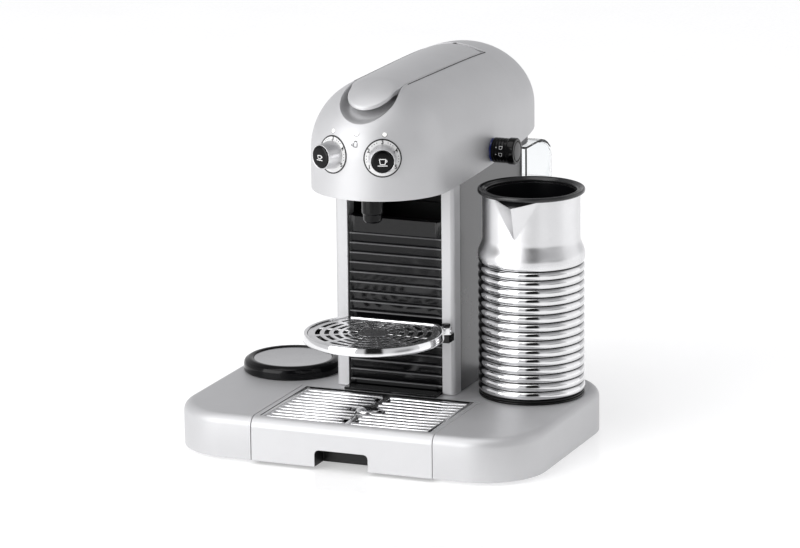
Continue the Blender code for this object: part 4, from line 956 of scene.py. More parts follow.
class MACHINE_OT_grid(bpy.types.Operator):
    """Drip grid of rounded bars with its cross-shaped opening, and the round float"""

    bl_idname = "machine.grid"
    bl_label = "Drip Grid"

    def execute(self, context):
        start, end = low("drip_grid"), high("drip_grid")
        count = context.scene.machine_looks.grid_bars
        middle_y = (start.y + end.y) / 2
        pitch = (end.y - start.y - 4 * MM) / count
        width = 0.56 * pitch
        side = end.x - 3.6 * MM
        meshes = []
        for n in range(count):
            y = start.y + 2 * MM + pitch * (n + 0.5)
            away = abs(y - middle_y)
            if away < 9 * MM:
                gap = 17.5 * MM
            elif away < 18 * MM:
                gap = 8 * MM
            elif n in (1, count - 2):
                gap = 7.5 * MM
            else:
                gap = 3.2 * MM
            for sign in (-1, 1):
                x0, x1 = sorted((sign * gap, sign * (side + 0.5 * MM)))
                meshes.append(bar_mesh("bar", x0, x1, y, width, start.z, end.z))
        for sign in (-1, 1):
            x0, x1 = sorted((sign * side, sign * end.x))
            meshes.append(brick("rail", (x0, start.y, start.z), (x1, end.y, end.z - 0.3 * MM), 0.5 * MM))
        rib = 1.1 * MM
        for sign in (-1, 1):
            for x in (0.33 * side, 0.72 * side):
                at = sign * x
                meshes.append(
                    brick(
                        "tie", (at - rib, start.y, start.z), (at + rib, end.y, start.z + 1.0 * MM), 0.3 * MM
                    )
                )
        for y0, y1 in ((start.y, middle_y - 13.4 * MM), (middle_y + 13.4 * MM, end.y)):
            meshes.append(
                brick("spine", (-3.2 * MM, y0, start.z), (3.2 * MM, y1, start.z + 1.2 * MM), 0.3 * MM)
            )
        collar = rounded(
            [(13.2 * MM, 0), (13.2 * MM, 1.4 * MM), (15.2 * MM, 1.4 * MM), (15.2 * MM, 0)], 0.4 * MM, 3, True
        )
        meshes.append(turned_mesh("collar", collar, (0, middle_y, start.z), steps=64, closed=True))
        grid = joined("drip_bars", meshes)
        smooth(new_piece("drip_bars", grid, satin_chrome(), "grid", "drip_grid"))

        node = "drip_float"
        r, top, foot = high(node).x, high(node).z, low(node).z
        profile = [(0, top)]
        profile += [(r * math.sin(a), top - 4.5 * MM * (1 - math.cos(a))) for a in np.linspace(0.1, 1.45, 14)]
        profile += [(r, top - 5.2 * MM), (r - 0.5 * MM, top - 6 * MM), (4 * MM, top - 6.5 * MM)]
        profile += [(4 * MM, foot + 4 * MM), (8 * MM, foot + 2 * MM), (8 * MM, foot), (0, foot)]
        mesh = turned_mesh("float_cap", profile, (0, middle(node).y, 0), steps=72)
        smooth(new_piece("float_cap", mesh, chrome(), "float", node))
        return {"FINISHED"}


# ---- column and capsule container ----------------------------------------------------------------------


class MACHINE_OT_column(bpy.types.Operator):
    """Side panels, front pillars, rear panel, dark bay and the bridge under the head"""

    bl_idname = "machine.column"
    bl_label = "Column"

    def execute(self, context):
        for side in ("left", "right"):
            refined(f"side_panel_{side}", panel_silver(), 0.3 * MM)
            refined(f"pillar_{side}", silver(), 0.3 * MM, 30)
        refined("rear_panel", grey_plastic(), 0.3 * MM)
        refined("bay_wall", black_satin(), 0.2 * MM)
        refined("rear_bridge", grey_plastic(), 0.6 * MM, 30)
        refined("head_chassis", black_satin(), 0.2 * MM)
        return {"FINISHED"}


class MACHINE_OT_container(bpy.types.Operator):
    """Used-capsule container: an open bin behind a ribbed gloss front"""

    bl_idname = "machine.container"
    bl_label = "Capsule Container"

    def execute(self, context):
        node = "capsule_container"
        start, end = low(node), high(node)
        face = 4 * MM
        wall = 2 * MM
        plan = rounded_rectangle((start.x, start.y + face + 0.1 * MM), (end.x, end.y), 2 * MM, 6)
        profile = [
            (0.4 * MM, start.z), (0, start.z + 0.4 * MM), (0, end.z - 0.6 * MM),
            (0.4 * MM, end.z - 0.1 * MM)
        ]
        profile += [(wall - 0.4 * MM, end.z - 0.1 * MM), (wall, end.z - 0.6 * MM), (wall, start.z + 3 * MM)]
        profile += [(wall + 1 * MM, start.z + 2 * MM)]
        bin_mesh = risen_mesh("capsule_bin", plan, profile)
        smooth(new_piece("capsule_bin", bin_mesh, black_satin(), "module", node))

        ribs = context.scene.machine_looks.front_ribs
        per = 14
        body = end.z - FRONT_STRIP - start.z - FRONT_FOOT
        f = np.linspace(0, 1, per, endpoint=False)
        swell = np.clip(f / 0.16, 0, 1) ** 0.6 * (0.45 + 0.55 * f) * np.clip((1 - f) / 0.14, 0, 1) ** 0.5
        z = np.concatenate([start.z + FRONT_FOOT + (n + f) * body / ribs for n in range(ribs)])
        out = np.tile(swell, ribs)
        ribs_from = start.z + FRONT_FOOT
        ends_z = [start.z, start.z + 0.6 * MM, ribs_from - 1 * MM, ribs_from - 0.01 * MM]
        tops_z = [end.z - FRONT_STRIP, end.z - FRONT_STRIP + 0.8 * MM, end.z - 0.8 * MM, end.z]
        z = np.concatenate([ends_z, z, tops_z])
        out = np.concatenate([[0.7, 1, 1, 0.2], out, [0.1, 1, 1, 0.6]])
        half = end.x
        x = np.concatenate([[-half], np.linspace(-half + 0.5 * MM, half - 0.5 * MM, 61), [half]])
        margin = half - 4.2 * MM
        frame_band = ease((np.abs(x) - margin) / (1.0 * MM))
        line = np.exp(-(((np.abs(x) - margin - 0.4 * MM) / (0.45 * MM)) ** 2))
        depth = 2.2 * MM
        relief = depth * (1 - out[:, None]) * (1 - 0.75 * frame_band[None, :]) + 0.7 * MM * line[None, :]
        edge = 0.6 * MM * ((np.abs(x) > half - 0.1 * MM)[None, :])
        y = start.y + relief + edge
        points = np.stack([np.broadcast_to(x, y.shape), y, np.broadcast_to(z[:, None], y.shape)], axis=-1)
        rear = points.copy()
        rear[..., 1] = start.y + face
        rows = np.concatenate([points, rear[:, ::-1]], axis=1)
        mesh = grid_mesh("container_front", rows, closed_v=True, ends=True)
        smooth(new_piece("container_front", mesh, black_ribbed(), "module", node), 40)
        return {"FINISHED"}


# ---- cup support ---------------------------------------------------------------------------------------


def tray_plan(node, chord):
    """plan(inset) of a round tray with a straight back: r = min(R - inset, chord / sin a)."""
    r = (high(node).x - low(node).x) / 2 if node != "support_tray" else -low(node).x
    centre = (0.0, low(node).y + r)
    angles = np.linspace(0, 2 * np.pi, 145)[:-1]

    def plan(inset):
        reach = chord - centre[1] - inset
        rise = np.sin(angles)
        radius = np.full(len(angles), r - inset)
        radius = np.where(rise * radius > reach, reach / np.maximum(rise, 1e-3), radius)
        return np.column_stack([radius * np.cos(angles), centre[1] + radius * rise])

    return plan, centre, r


class MACHINE_OT_support(bpy.types.Operator):
    """Round swivelling cup support: bright rim, slotted disc, hinge knuckle, pin and bracket"""

    bl_idname = "machine.support"
    bl_label = "Cup Support"

    def execute(self, context):
        node = "support_tray"
        chord = high(node).y
        plan, centre, r = tray_plan(node, chord)
        bottom, top = low(node).z, high(node).z
        rim = 4.2 * MM
        profile = [(2.5 * MM, bottom), (0.8 * MM, bottom + 0.3 * MM), (0.1 * MM, bottom + 1.3 * MM)]
        profile += [(0.05 * MM, bottom + 2.4 * MM), (0.9 * MM, top - 0.9 * MM), (1.2 * MM, top - 0.3 * MM)]
        profile += [(1.9 * MM, top)]
        profile += [(rim - 1.2 * MM, top - 0.1 * MM), (rim - 0.3 * MM, top - 0.5 * MM), (rim, top - 1.4 * MM)]
        profile += [(rim, bottom + 2.2 * MM)]
        dish = risen_mesh("tray_dish", plan, profile)
        pin = middle("support_pin")
        knuckle = rounded(
            [(2.7 * MM, 0), (5.2 * MM, 0), (5.2 * MM, 7 * MM), (2.7 * MM, 7 * MM)], 0.8 * MM, 4, True
        )
        knuckle_mesh = turned_mesh("knuckle", knuckle, (pin.x, pin.y, bottom), steps=40, closed=True)
        arm = brick(
            "arm", (pin.x - 15 * MM, pin.y - 4.2 * MM, bottom + 0.3 * MM),
            (pin.x - 3.2 * MM, pin.y + 4.2 * MM, top - 1.6 * MM), 0.8 * MM,
        )
        mesh = joined("cup_support", [dish, knuckle_mesh, arm])
        obj = new_piece("cup_support", mesh, [chrome(), black_satin()], "support", node)
        for face in mesh.polygons:
            c = Vector(face.center)
            inside = (Vector((c.x, c.y)) - Vector(centre)).length < r - rim - 0.2 * MM and c.z < top - 2 * MM
            face.material_index = 1 if inside and face.normal.z > 0.5 else 0
        smooth(obj, 40)

        grid_r = r - rim - 0.3 * MM
        start, rings, sectors = 15 * MM, 5, 12
        pitch = (grid_r - 2.5 * MM - start) / rings
        radii, is_slot = [0.0, start - 0.4 * pitch], [False]
        for n in range(rings):
            radii += [start + n * pitch, start + (n + 0.52) * pitch]
            is_slot += [False, True]
        radii.append(grid_r)
        is_slot.append(False)
        radii = np.array(radii)
        per = 9
        step = 2 * np.pi / sectors
        inner = np.linspace(0.10, 0.90, per - 1)
        shares = np.concatenate([[0.0], inner])
        angles = np.concatenate([(n + shares) * step for n in range(sectors)])
        in_slot = np.tile(np.concatenate([[False], np.ones(per - 2, bool), [False]]), sectors)
        x = radii[:, None] * np.cos(angles)
        y = centre[1] + radii[:, None] * np.sin(angles)
        wall = chord - rim
        blocked = y > wall - 3 * MM
        beyond = y > wall
        scale = np.where(beyond, (wall - centre[1]) / np.maximum(y - centre[1], 1e-6), 1)
        x, y = x * scale, centre[1] + (y - centre[1]) * scale
        z = np.full(x.shape, top - 1.3 * MM)
        points = np.stack([x, y, z], axis=-1)
        hit = blocked | np.roll(blocked, -1, axis=1)
        hit = hit[:-1] | hit[1:]
        gone = beyond & np.roll(beyond, -1, axis=1)
        keep = ~(np.array(is_slot)[:, None] & in_slot[None, :] & ~hit) & ~gone[:-1]
        disc = grid_mesh("support_disc", points, closed_v=True, keep=keep)
        flat = new_piece("support_disc", disc, satin_chrome(), "support", "support_grid")
        if np.mean([face.normal.z for face in disc.polygons]) < 0:
            disc.flip_normals()
        wall_mod = flat.modifiers.new("wall", "SOLIDIFY")
        wall_mod.thickness = 1.6 * MM
        wall_mod.offset = -1
        bevel = flat.modifiers.new("round_edges", "BEVEL")
        bevel.width = 0.55 * MM
        bevel.segments = 3
        bevel.limit_method = "ANGLE"
        bevel.angle_limit = math.radians(50)
        smooth(flat, 40)
        refined("support_bracket", black_gloss(), 0.5 * MM)
        pin_top, pin_low = high("support_pin").z, low("support_pin").z
        profile = rounded([(0, pin_top), (3.7 * MM, pin_top), (3.7 * MM, pin_top - 2.5 * MM)], 0.9 * MM, 4)
        profile = np.vstack([profile, [(2.5 * MM, pin_top - 2.7 * MM), (2.5 * MM, pin_low), (0, pin_low)]])
        mesh = turned_mesh("pin_head", profile, (pin.x, pin.y, 0), steps=40)
        smooth(new_piece("pin_head", mesh, black_gloss(), "module", "support_pin"))
        return {"FINISHED"}


# ---- head ----------------------------------------------------------------------------------------------


class MACHINE_OT_head(bpy.types.Operator):
    """Silver head: a round-fronted arch with the lever's opening in its top"""

    bl_idname = "machine.head"
    bl_label = "Head"

    def execute(self, context):
        front = low("head_shell").y
        turn = np.linspace(0, np.pi / 2, 40)
        nose = DOME_Y - HEAD_HALF * np.cos(turn)
        nose = nose[(nose < SCOOP_TIP - 0.3 * MM)]
        scoop = round_rows(SCOOP_TIP, SCOOP, 26)
        neck = np.linspace(SCOOP_TIP + SCOOP, NECK_Y, 10)[1:]
        side = np.linspace(NECK_Y, OPENING_REAR, 26)[1:]
        u = 1 - (1 - np.linspace(0, 1, 30)) ** 2.4
        tail = OPENING_REAR + 0.15 * MM + (HEAD_BACK - OPENING_REAR - 0.15 * MM) * u
        y = np.concatenate([nose, scoop, neck, side, tail])
        is_open = np.zeros(len(y), bool)
        is_open[len(nose) : len(nose) + len(scoop) + len(neck) + len(side)] = True
        width, rise = head_shares(y)
        half = HEAD_HALF * width
        gap = np.where(is_open, opening_half(y), 0)
        edge = np.arccos(np.clip(gap / np.maximum(half, 1e-6), 0, 1))
        lip = np.where(is_open & (gap > 0), 1.0, 0.0)[:, None]
        s = np.linspace(0, 1, 44)
        angle = edge[:, None] * (1 - s[None, :])
        x = half[:, None] * np.cos(angle)
        z = ARCH_Z + ARCH_RISE * rise[:, None] * np.sin(angle)
        round_z = np.array([-5.0, -0.8, -0.25]) * MM
        lip_x = np.repeat(x[:, :1], len(round_z), axis=1)
        lip_z = z[:, :1] + round_z[None, :] * lip
        x[:, :1] += 0.25 * MM * lip
        rim = rim_height(y)
        t = np.linspace(0, 1, 12)[1:]
        wall_z = ARCH_Z + (rim[:, None] + 0.8 * MM - ARCH_Z) * t[None, :]
        wall_x = np.repeat(half[:, None], len(t), axis=1)
        inner = np.maximum(half - HEAD_WALL, 0)
        end_x = np.column_stack([half - 0.15 * MM * width, half - 0.6 * MM * width, inner, inner])
        end_z = np.column_stack([rim + 0.3 * MM, rim, rim + 0.1 * MM, rim + 7 * MM])
        xs = np.concatenate([lip_x, x, wall_x, end_x], axis=1)
        zs = np.concatenate([lip_z, z, wall_z, end_z], axis=1)
        ys = np.repeat(y[:, None], xs.shape[1], axis=1)
        ys[:, -2:] = np.clip(ys[:, -2:], front + HEAD_WALL, HEAD_BACK - HEAD_WALL)
        right = np.stack([xs, ys, zs], axis=-1)
        left = right * [-1, 1, 1]
        parts = [grid_mesh("head_right", right), grid_mesh("head_left", left)]
        mesh = joined("head_cover", parts)
        bm = bmesh.new()
        bm.from_mesh(mesh)
        bpy.data.meshes.remove(mesh)
        mesh = tidy_mesh(bm, "head_cover")
        top = max(mesh.polygons, key=lambda face: face.area)
        if Vector(top.normal).dot(Vector(top.center) - Vector((0, 0, ARCH_Z))) < 0:
            mesh.flip_normals()
        even_normals(smooth(new_piece("head_cover", mesh, silver(), "machine", "head_shell"), 50))
        refined("head_underside", black_satin(), 0.3 * MM)
        return {"FINISHED"}


class MACHINE_OT_lever(bpy.types.Operator):
    """Lever flush with the head's top, with a round thumb paddle, and its hinge pin"""

    bl_idname = "machine.lever"
    bl_label = "Lever"

    def execute(self, context):
        shape = (LEVER_TIP, PADDLE, 0.0, LEVER_REAR)
        rows = round_rows(LEVER_TIP, PADDLE, 30)
        rows = np.concatenate(
            [rows, np.linspace(LEVER_TIP + PADDLE, NECK_Y, 12)[1:], np.linspace(NECK_Y, LEVER_REAR, 60)[1:]]
        )
        half = outline_half(rows, *shape)
        s = np.sin(np.linspace(-np.pi / 2, np.pi / 2, 49))
        x = half[:, None] * s[None, :]
        y = np.repeat(rows[:, None], len(s), axis=1)
        distance = outline_distance(x, y, *shape)
        distance = np.minimum(distance, LEVER_REAR - y)
        r = 1.1 * MM
        drop = r - np.sqrt(np.maximum(r**2 - np.maximum(r - distance, 0) ** 2, 0))
        top = head_top(x, y, drop)
        past = np.maximum(y - PIN.y, 0)
        roll = PIN.z + np.sqrt(np.maximum(TAIL_REACH**2 - past**2, 0))
        top = np.where(past > 0, np.minimum(top, roll), top)
        across = np.sqrt(x**2 + (y - LEVER_TIP - PADDLE) ** 2) / (PADDLE - 0.8 * MM)
        top -= 1.4 * MM * np.clip(1 - across**2, 0, 1) ** 1.2
        thick = 0.3 + 0.7 * ease((rows[:, None] - LEVER_TIP - 12 * MM) / (26 * MM))
        skirt = np.array([1.5, 4.0, 5.6, 6.2]) * MM
        left_z = top[:, :1] - skirt[::-1][None, :] * thick
        right_z = top[:, -1:] - skirt[None, :] * thick
        pull = np.array([0, 0, 0.1, 0.8]) * MM
        left_x = np.minimum(x[:, :1] + pull[::-1][None, :], 0)
        right_x = np.maximum(x[:, -1:] - pull[None, :], 0)
        under = np.linspace(1, -1, 9)[1:-1]
        under_x = np.maximum(half[:, None] - 1.6 * MM, 0) * under[None, :]
        under_y = np.repeat(rows[:, None], len(under), axis=1)
        under_z = head_top(under_x, under_y) - 6.6 * MM * thick
        xs = np.concatenate([left_x, x, right_x, under_x], axis=1)
        zs = np.concatenate([left_z, top, right_z, under_z], axis=1)
        ys = np.repeat(rows[:, None], xs.shape[1], axis=1)
        points = np.stack([xs, ys, zs], axis=-1)
        mesh = grid_mesh("lever_cover", points, closed_v=True, ends=True)
        hub = brick(
            "hub",
            (-22 * MM, PIN.y - 6 * MM, PIN.z - 5 * MM),
            (22 * MM, PIN.y + 6 * MM, PIN.z + 8 * MM),
            2 * MM,
        )
        mesh = joined("lever_cover", [mesh, hub])
        smooth(new_piece("lever_cover", mesh, silver(), "lever", "lever"), 50)
        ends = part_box("lever_pin")
        r, length = 3 * MM, ends[1].x - ends[0].x
        profile = rounded([(0, 0), (r, 0), (r, length), (0, length)], 0.4 * MM, 3)
        mesh = turned_mesh("hinge_pin", profile, (ends[0].x, PIN.y, PIN.z), (1, 0, 0), 32)
        smooth(new_piece("hinge_pin", mesh, brushed_steel(), "machine", "lever_pin"))
        return {"FINISHED"}


class MACHINE_OT_bay(bpy.types.Operator):
    """Trough under the lever: a finger scoop, a deep channel behind it, the capsule slot in its floor"""

    bl_idname = "machine.bay"
    bl_label = "Lever Bay"

    def execute(self, context):
        depth_limit = context.scene.machine_looks.scoop_depth
        slot_front = low("brew_frame").y + 16 * MM
        slot_back = slot_front + 38 * MM
        front_rows = round_rows(SCOOP_TIP, SCOOP, 34)
        rest = np.linspace(SCOOP_TIP + SCOOP, OPENING_REAR, 90)[1:]
        rest = np.unique(np.concatenate([rest, [slot_front, slot_back, PIN.y - 12 * MM]]))
        rows = np.concatenate([front_rows, rest])
        half = opening_half(rows)
        s = np.sin(np.linspace(0, np.pi / 2, 26))
        s = np.unique(np.concatenate([s, [0.66]]))
        s = np.concatenate([-s[::-1][:-1], s])
        x = half[:, None] * s[None, :]
        y = np.repeat(rows[:, None], len(s), axis=1)
        distance = outline_distance(x, y, SCOOP_TIP, SCOOP, SEAM, OPENING_REAR)
        distance = np.minimum(distance, OPENING_REAR - y)
        widest = SCOOP_TIP + SCOOP
        reach = 17 * MM + (8 * MM - 17 * MM) * np.clip((y - SCOOP_TIP) / SCOOP, 0, 1)
        reach = reach + (0.5 * MM - reach) * ease((y - widest) / (NECK_Y - 4 * MM - widest))
        share = np.clip(distance / reach, 0, 1)
        depth = depth_limit * (1 - (1 - share) ** 1.7)
        z = head_top(x, y) - depth - 0.25 * MM
        points = np.stack([x, y, z], axis=-1)
        centre_y = (y[:-1, :-1] + y[1:, 1:]) / 2
        centre_s = (s[:-1] + s[1:]) / 2
        hole = (centre_y > slot_front) & (centre_y < slot_back) & (np.abs(centre_s)[None, :] < 0.66)
        swing = (centre_y > PIN.y - 12 * MM) & (np.abs(centre_s)[None, :] < 0.985)
        mesh = grid_mesh("lever_trough", points, keep=~(hole | swing))
        if np.mean([face.normal.z for face in mesh.polygons]) < 0:
            mesh.flip_normals()
        obj = new_piece("lever_trough", mesh, [silver(), black_satin()], "machine", "lever_bay")
        for face in mesh.polygons:
            face.material_index = 1 if face.center.y > NECK_Y + 6 * MM else 0
        wall = obj.modifiers.new("wall", "SOLIDIFY")
        wall.thickness = 1.6 * MM
        wall.offset = -1
        smooth(obj, 50)
        return {"FINISHED"}


# ---- controls ------------------------------------------------------------------------------------------


def dial_direction(side):
    return Vector((side * math.sin(DIAL_ANGLE), -math.cos(DIAL_ANGLE), 0))


def dial_centre(side):
    return Vector((0, DOME_Y, DIAL_Z)) + dial_direction(side) * HEAD_HALF


def wrapped_ring(name, inner, outer, lift, place, steps=96, rows=5, skirt=0.5 * MM):
    """A thin ring laid on the head: polar points (r, a) on the dome, with an edge that drops in."""
    radii = np.linspace(inner, outer, rows)
    angles = np.linspace(0, 2 * np.pi, steps, endpoint=False)
    layers = [place(inner * np.cos(angles), inner * np.sin(angles), lift - skirt)]
    layers += [place(r * np.cos(angles), r * np.sin(angles), lift) for r in radii]
    layers.append(place(outer * np.cos(angles), outer * np.sin(angles), lift - skirt))
    return grid_mesh(name, layers, closed_v=True, closed_u=True)


def digit_mesh(text, size, u, v, lift, place):
    """A numeral as a flat mesh, carried onto a surface by place(u, v, lift)."""
    curve = bpy.data.curves.new("numeral", "FONT")
    curve.body = text
    curve.size = size
    curve.offset = 0.12 * MM
    curve.align_x = "CENTER"
    curve.align_y = "CENTER"
    curve.resolution_u = 4
    holder = bpy.data.objects.new("numeral", curve)
    bpy.context.scene.collection.objects.link(holder)
    bpy.context.view_layer.update()
    mesh = bpy.data.meshes.new_from_object(holder.evaluated_get(bpy.context.evaluated_depsgraph_get()))
    bpy.data.objects.remove(holder)
    flat = np.empty(len(mesh.vertices) * 3)
    mesh.vertices.foreach_get("co", flat)
    flat = flat.reshape(-1, 3)
    placed = place(flat[:, 0] + u, flat[:, 1] + v, lift)
    mesh.vertices.foreach_set("co", placed.ravel())
    mesh.update()
    return mesh


def cup_strokes(large):
    """Outline of a cup with its handle, and a line under it: two sizes."""
    w, h = (2.9 * MM, 4.6 * MM) if large else (2.3 * MM, 2.8 * MM)
    cup = np.array([(-w, h / 2), (-0.72 * w, -h / 2), (0.72 * w, -h / 2), (w, h / 2), (-w, h / 2)])
    handle = circle_line(w * 1.02, 0.12 * h, 0.85 * MM if large else 0.7 * MM, -80, 95, 12)
    saucer = np.array([(-1.5 * w, -h / 2 - 1.3 * MM), (1.5 * w, -h / 2 - 1.3 * MM)])
    dense = [
        np.column_stack([np.linspace(a[0], b[0], 6), np.linspace(a[1], b[1], 6)]) for a,
        b in zip(cup, cup[1:])
    ]
    return dense + [handle, saucer]


class MACHINE_OT_dials(bpy.types.Operator):
    """Two volume dials: black-edged white faces with numerals and dots, bright knobs, black buttons"""

    bl_idname = "machine.dials"
    bl_label = "Volume Dials"

    def execute(self, context):
        dark = ink("dial_black", (0.012, 0.012, 0.012))
        bright = ink("icon_white", (0.85, 0.85, 0.85))
        for side, name in ((-1, "left"), (1, "right")):
            place, direction = dial_place(side), dial_direction(side)
            ring = wrapped_ring("dial_face", 5 * MM, 16.2 * MM, 0.35 * MM, place, rows=9)
            smooth(new_piece(f"dial_face_{name}", ring, white_face(), "machine", f"dial_ring_{name}"))
            line = wrapped_ring("dial_edge", 15.9 * MM, 17.1 * MM, 0.45 * MM, place, rows=3)
            smooth(new_piece(f"dial_edge_{name}", line, dark, "machine"))
            marks = []
            for number, angle in zip("12345", (214, 152, 90, 28, -34)):
                a = math.radians(angle)
                u, v = 14.2 * MM * math.cos(a), 14.2 * MM * math.sin(a)
                marks.append(digit_mesh(number, 5.0 * MM, u, v, 0.46 * MM, place))
            for angle in (193, 183, 172, 131, 121, 111, 69, 59, 49, 7, -3, -13):
                a = math.radians(angle)
                dot = circle_line(0, 0, 0.42 * MM, 0, 360, 9)[:-1]
                centre = (14.4 * MM * math.cos(a), 14.4 * MM * math.sin(a))
                ring_pts = [
                    place(centre[0] + dot[:, 0] * k, centre[1] + dot[:, 1] * k, 0.42 * MM) for k in (0, 1)
                ]
                marks.append(grid_mesh("dot", ring_pts, closed_v=True))
            new_piece(f"dial_marks_{name}", joined(f"dial_marks_{name}", marks), dark, "machine")
            self.knob(name, side, direction, bright)
        return {"FINISHED"}

    def knob(self, name, side, direction, bright):
        start = dial_centre(side) - direction * 1 * MM
        length = 14.3 * MM
        tip, foot, well = 10.8 * MM, 12.5 * MM, 9.9 * MM
        bore = 3.3 * MM
        outline = [
            (bore, length - 4.8 * MM), (well, length - 4.8 * MM), (well, length - 0.5 * MM), (
                well + 0.4 * MM, length
            ),
            (tip, length), (foot, 1.2 * MM), (foot, 0.3 * MM), (5 * MM, 0.3 * MM), (5 * MM, -9 * MM), (
                bore, -9 * MM
            ),
        ]
        mesh = turned_mesh("knob", rounded(outline, 0.5 * MM, 4, True), start, direction, 120, closed=True)
        smooth(new_piece(f"knob_{name}_finish", mesh, knob_metal(), f"{name}_knob", f"knob_{name}"))
        top = length + 1.2 * MM
        crown = [(r, top - 0.5 * MM * (r / (9.2 * MM)) ** 2) for r in np.linspace(0, 8.6 * MM, 10)]
        outline = crown + [
            (9.3 * MM, top - 0.75 * MM), (9.6 * MM, top - 1.3 * MM), (9.6 * MM, top - 4.1 * MM)
        ]
        outline += [(3 * MM, top - 4.1 * MM), (3 * MM, -9 * MM), (0, -9 * MM)]
        mesh = turned_mesh("cap", outline, start, direction, 96)
        body = f"{name}_button"
        smooth(new_piece(f"button_{name}_finish", mesh, black_gloss(), body, f"button_{name}"))
        place = plane_place(start + direction * (top + 0.02 * MM), direction)
        icon = ribbons_mesh("icon", cup_strokes(side > 0), 0.75 * MM, 0, place)
        new_piece(f"button_icon_{name}", icon, bright, body)


def knob_metal():
    return finish(
        "turned_aluminium", (0.78, 0.78, 0.79), 0.26, 1.0, spread=0.03, bump=0.03, brushed=(1, 1, 40)
    )


class MACHINE_OT_lights(bpy.types.Operator):
    """Three indicator lights and the small mark under the middle one"""

    bl_idname = "machine.lights"
    bl_label = "Indicator Lights"

    def execute(self, context):
        lens = finish(
            "light_lens", (0.92, 0.92, 0.90), 0.15, spread=0.04, bump=0.01, emission_strength=0.25,
            emission_color=(1, 1, 0.95, 1),
        )
        for name in ("left", "centre", "right"):
            node = f"light_{name}"
            at = middle(node)
            out = Vector((at.x, at.y - DOME_Y, at.z - ARCH_Z)).normalized()
            centre = Vector((0, DOME_Y, ARCH_Z)) + out * HEAD_HALF
            dome = [(2 * MM * math.sin(a), 0.35 * MM * math.cos(a)) for a in np.linspace(0, np.pi / 2, 8)]
            profile = dome + [(2 * MM, -2 * MM), (0, -2 * MM)]
            mesh = turned_mesh(f"lens_{name}", profile, centre, out, 40)
            smooth(new_piece(f"lens_{name}", mesh, lens, "machine", node))
            ring = [
                (2.05 * MM, -0.5 * MM), (2.05 * MM, 0.1 * MM), (2.5 * MM, 0.1 * MM), (2.5 * MM, -0.5 * MM)
            ]
            mesh = turned_mesh(
                f"lens_ring_{name}", rounded(ring, 0.1 * MM, 2, True), centre, out, 40, closed=True
            )
            smooth(new_piece(f"lens_ring_{name}", mesh, grey_plastic(), "machine"))

        def place(u, v, lift):
            u, v = np.asarray(u, float), np.asarray(v, float)
            return on_dome(u / HEAD_HALF, ARCH_Z + 15.5 * MM + v, lift)

        cup = np.array([(-1.7, 1.2), (-1.7, -2.2), (1.7, -2.2), (1.7, 1.2)]) * MM
        lines = [
            np.column_stack([np.linspace(a[0], b[0], 5), np.linspace(a[1], b[1], 5)]) for a,
            b in zip(cup, cup[1:])
        ]
        lines += [
            circle_line(0, 1.4 * MM, 1.4 * MM, 10, 170, 10),
            circle_line(-2.8 * MM, -0.6 * MM, 0.8 * MM, 90, 300, 10)
        ]
        mark = ribbons_mesh("care_mark", lines, 0.75 * MM, 0.12 * MM, place)
        new_piece("care_mark", mark, ink("mark_grey", (0.05, 0.05, 0.05)), "machine")
        return {"FINISHED"}


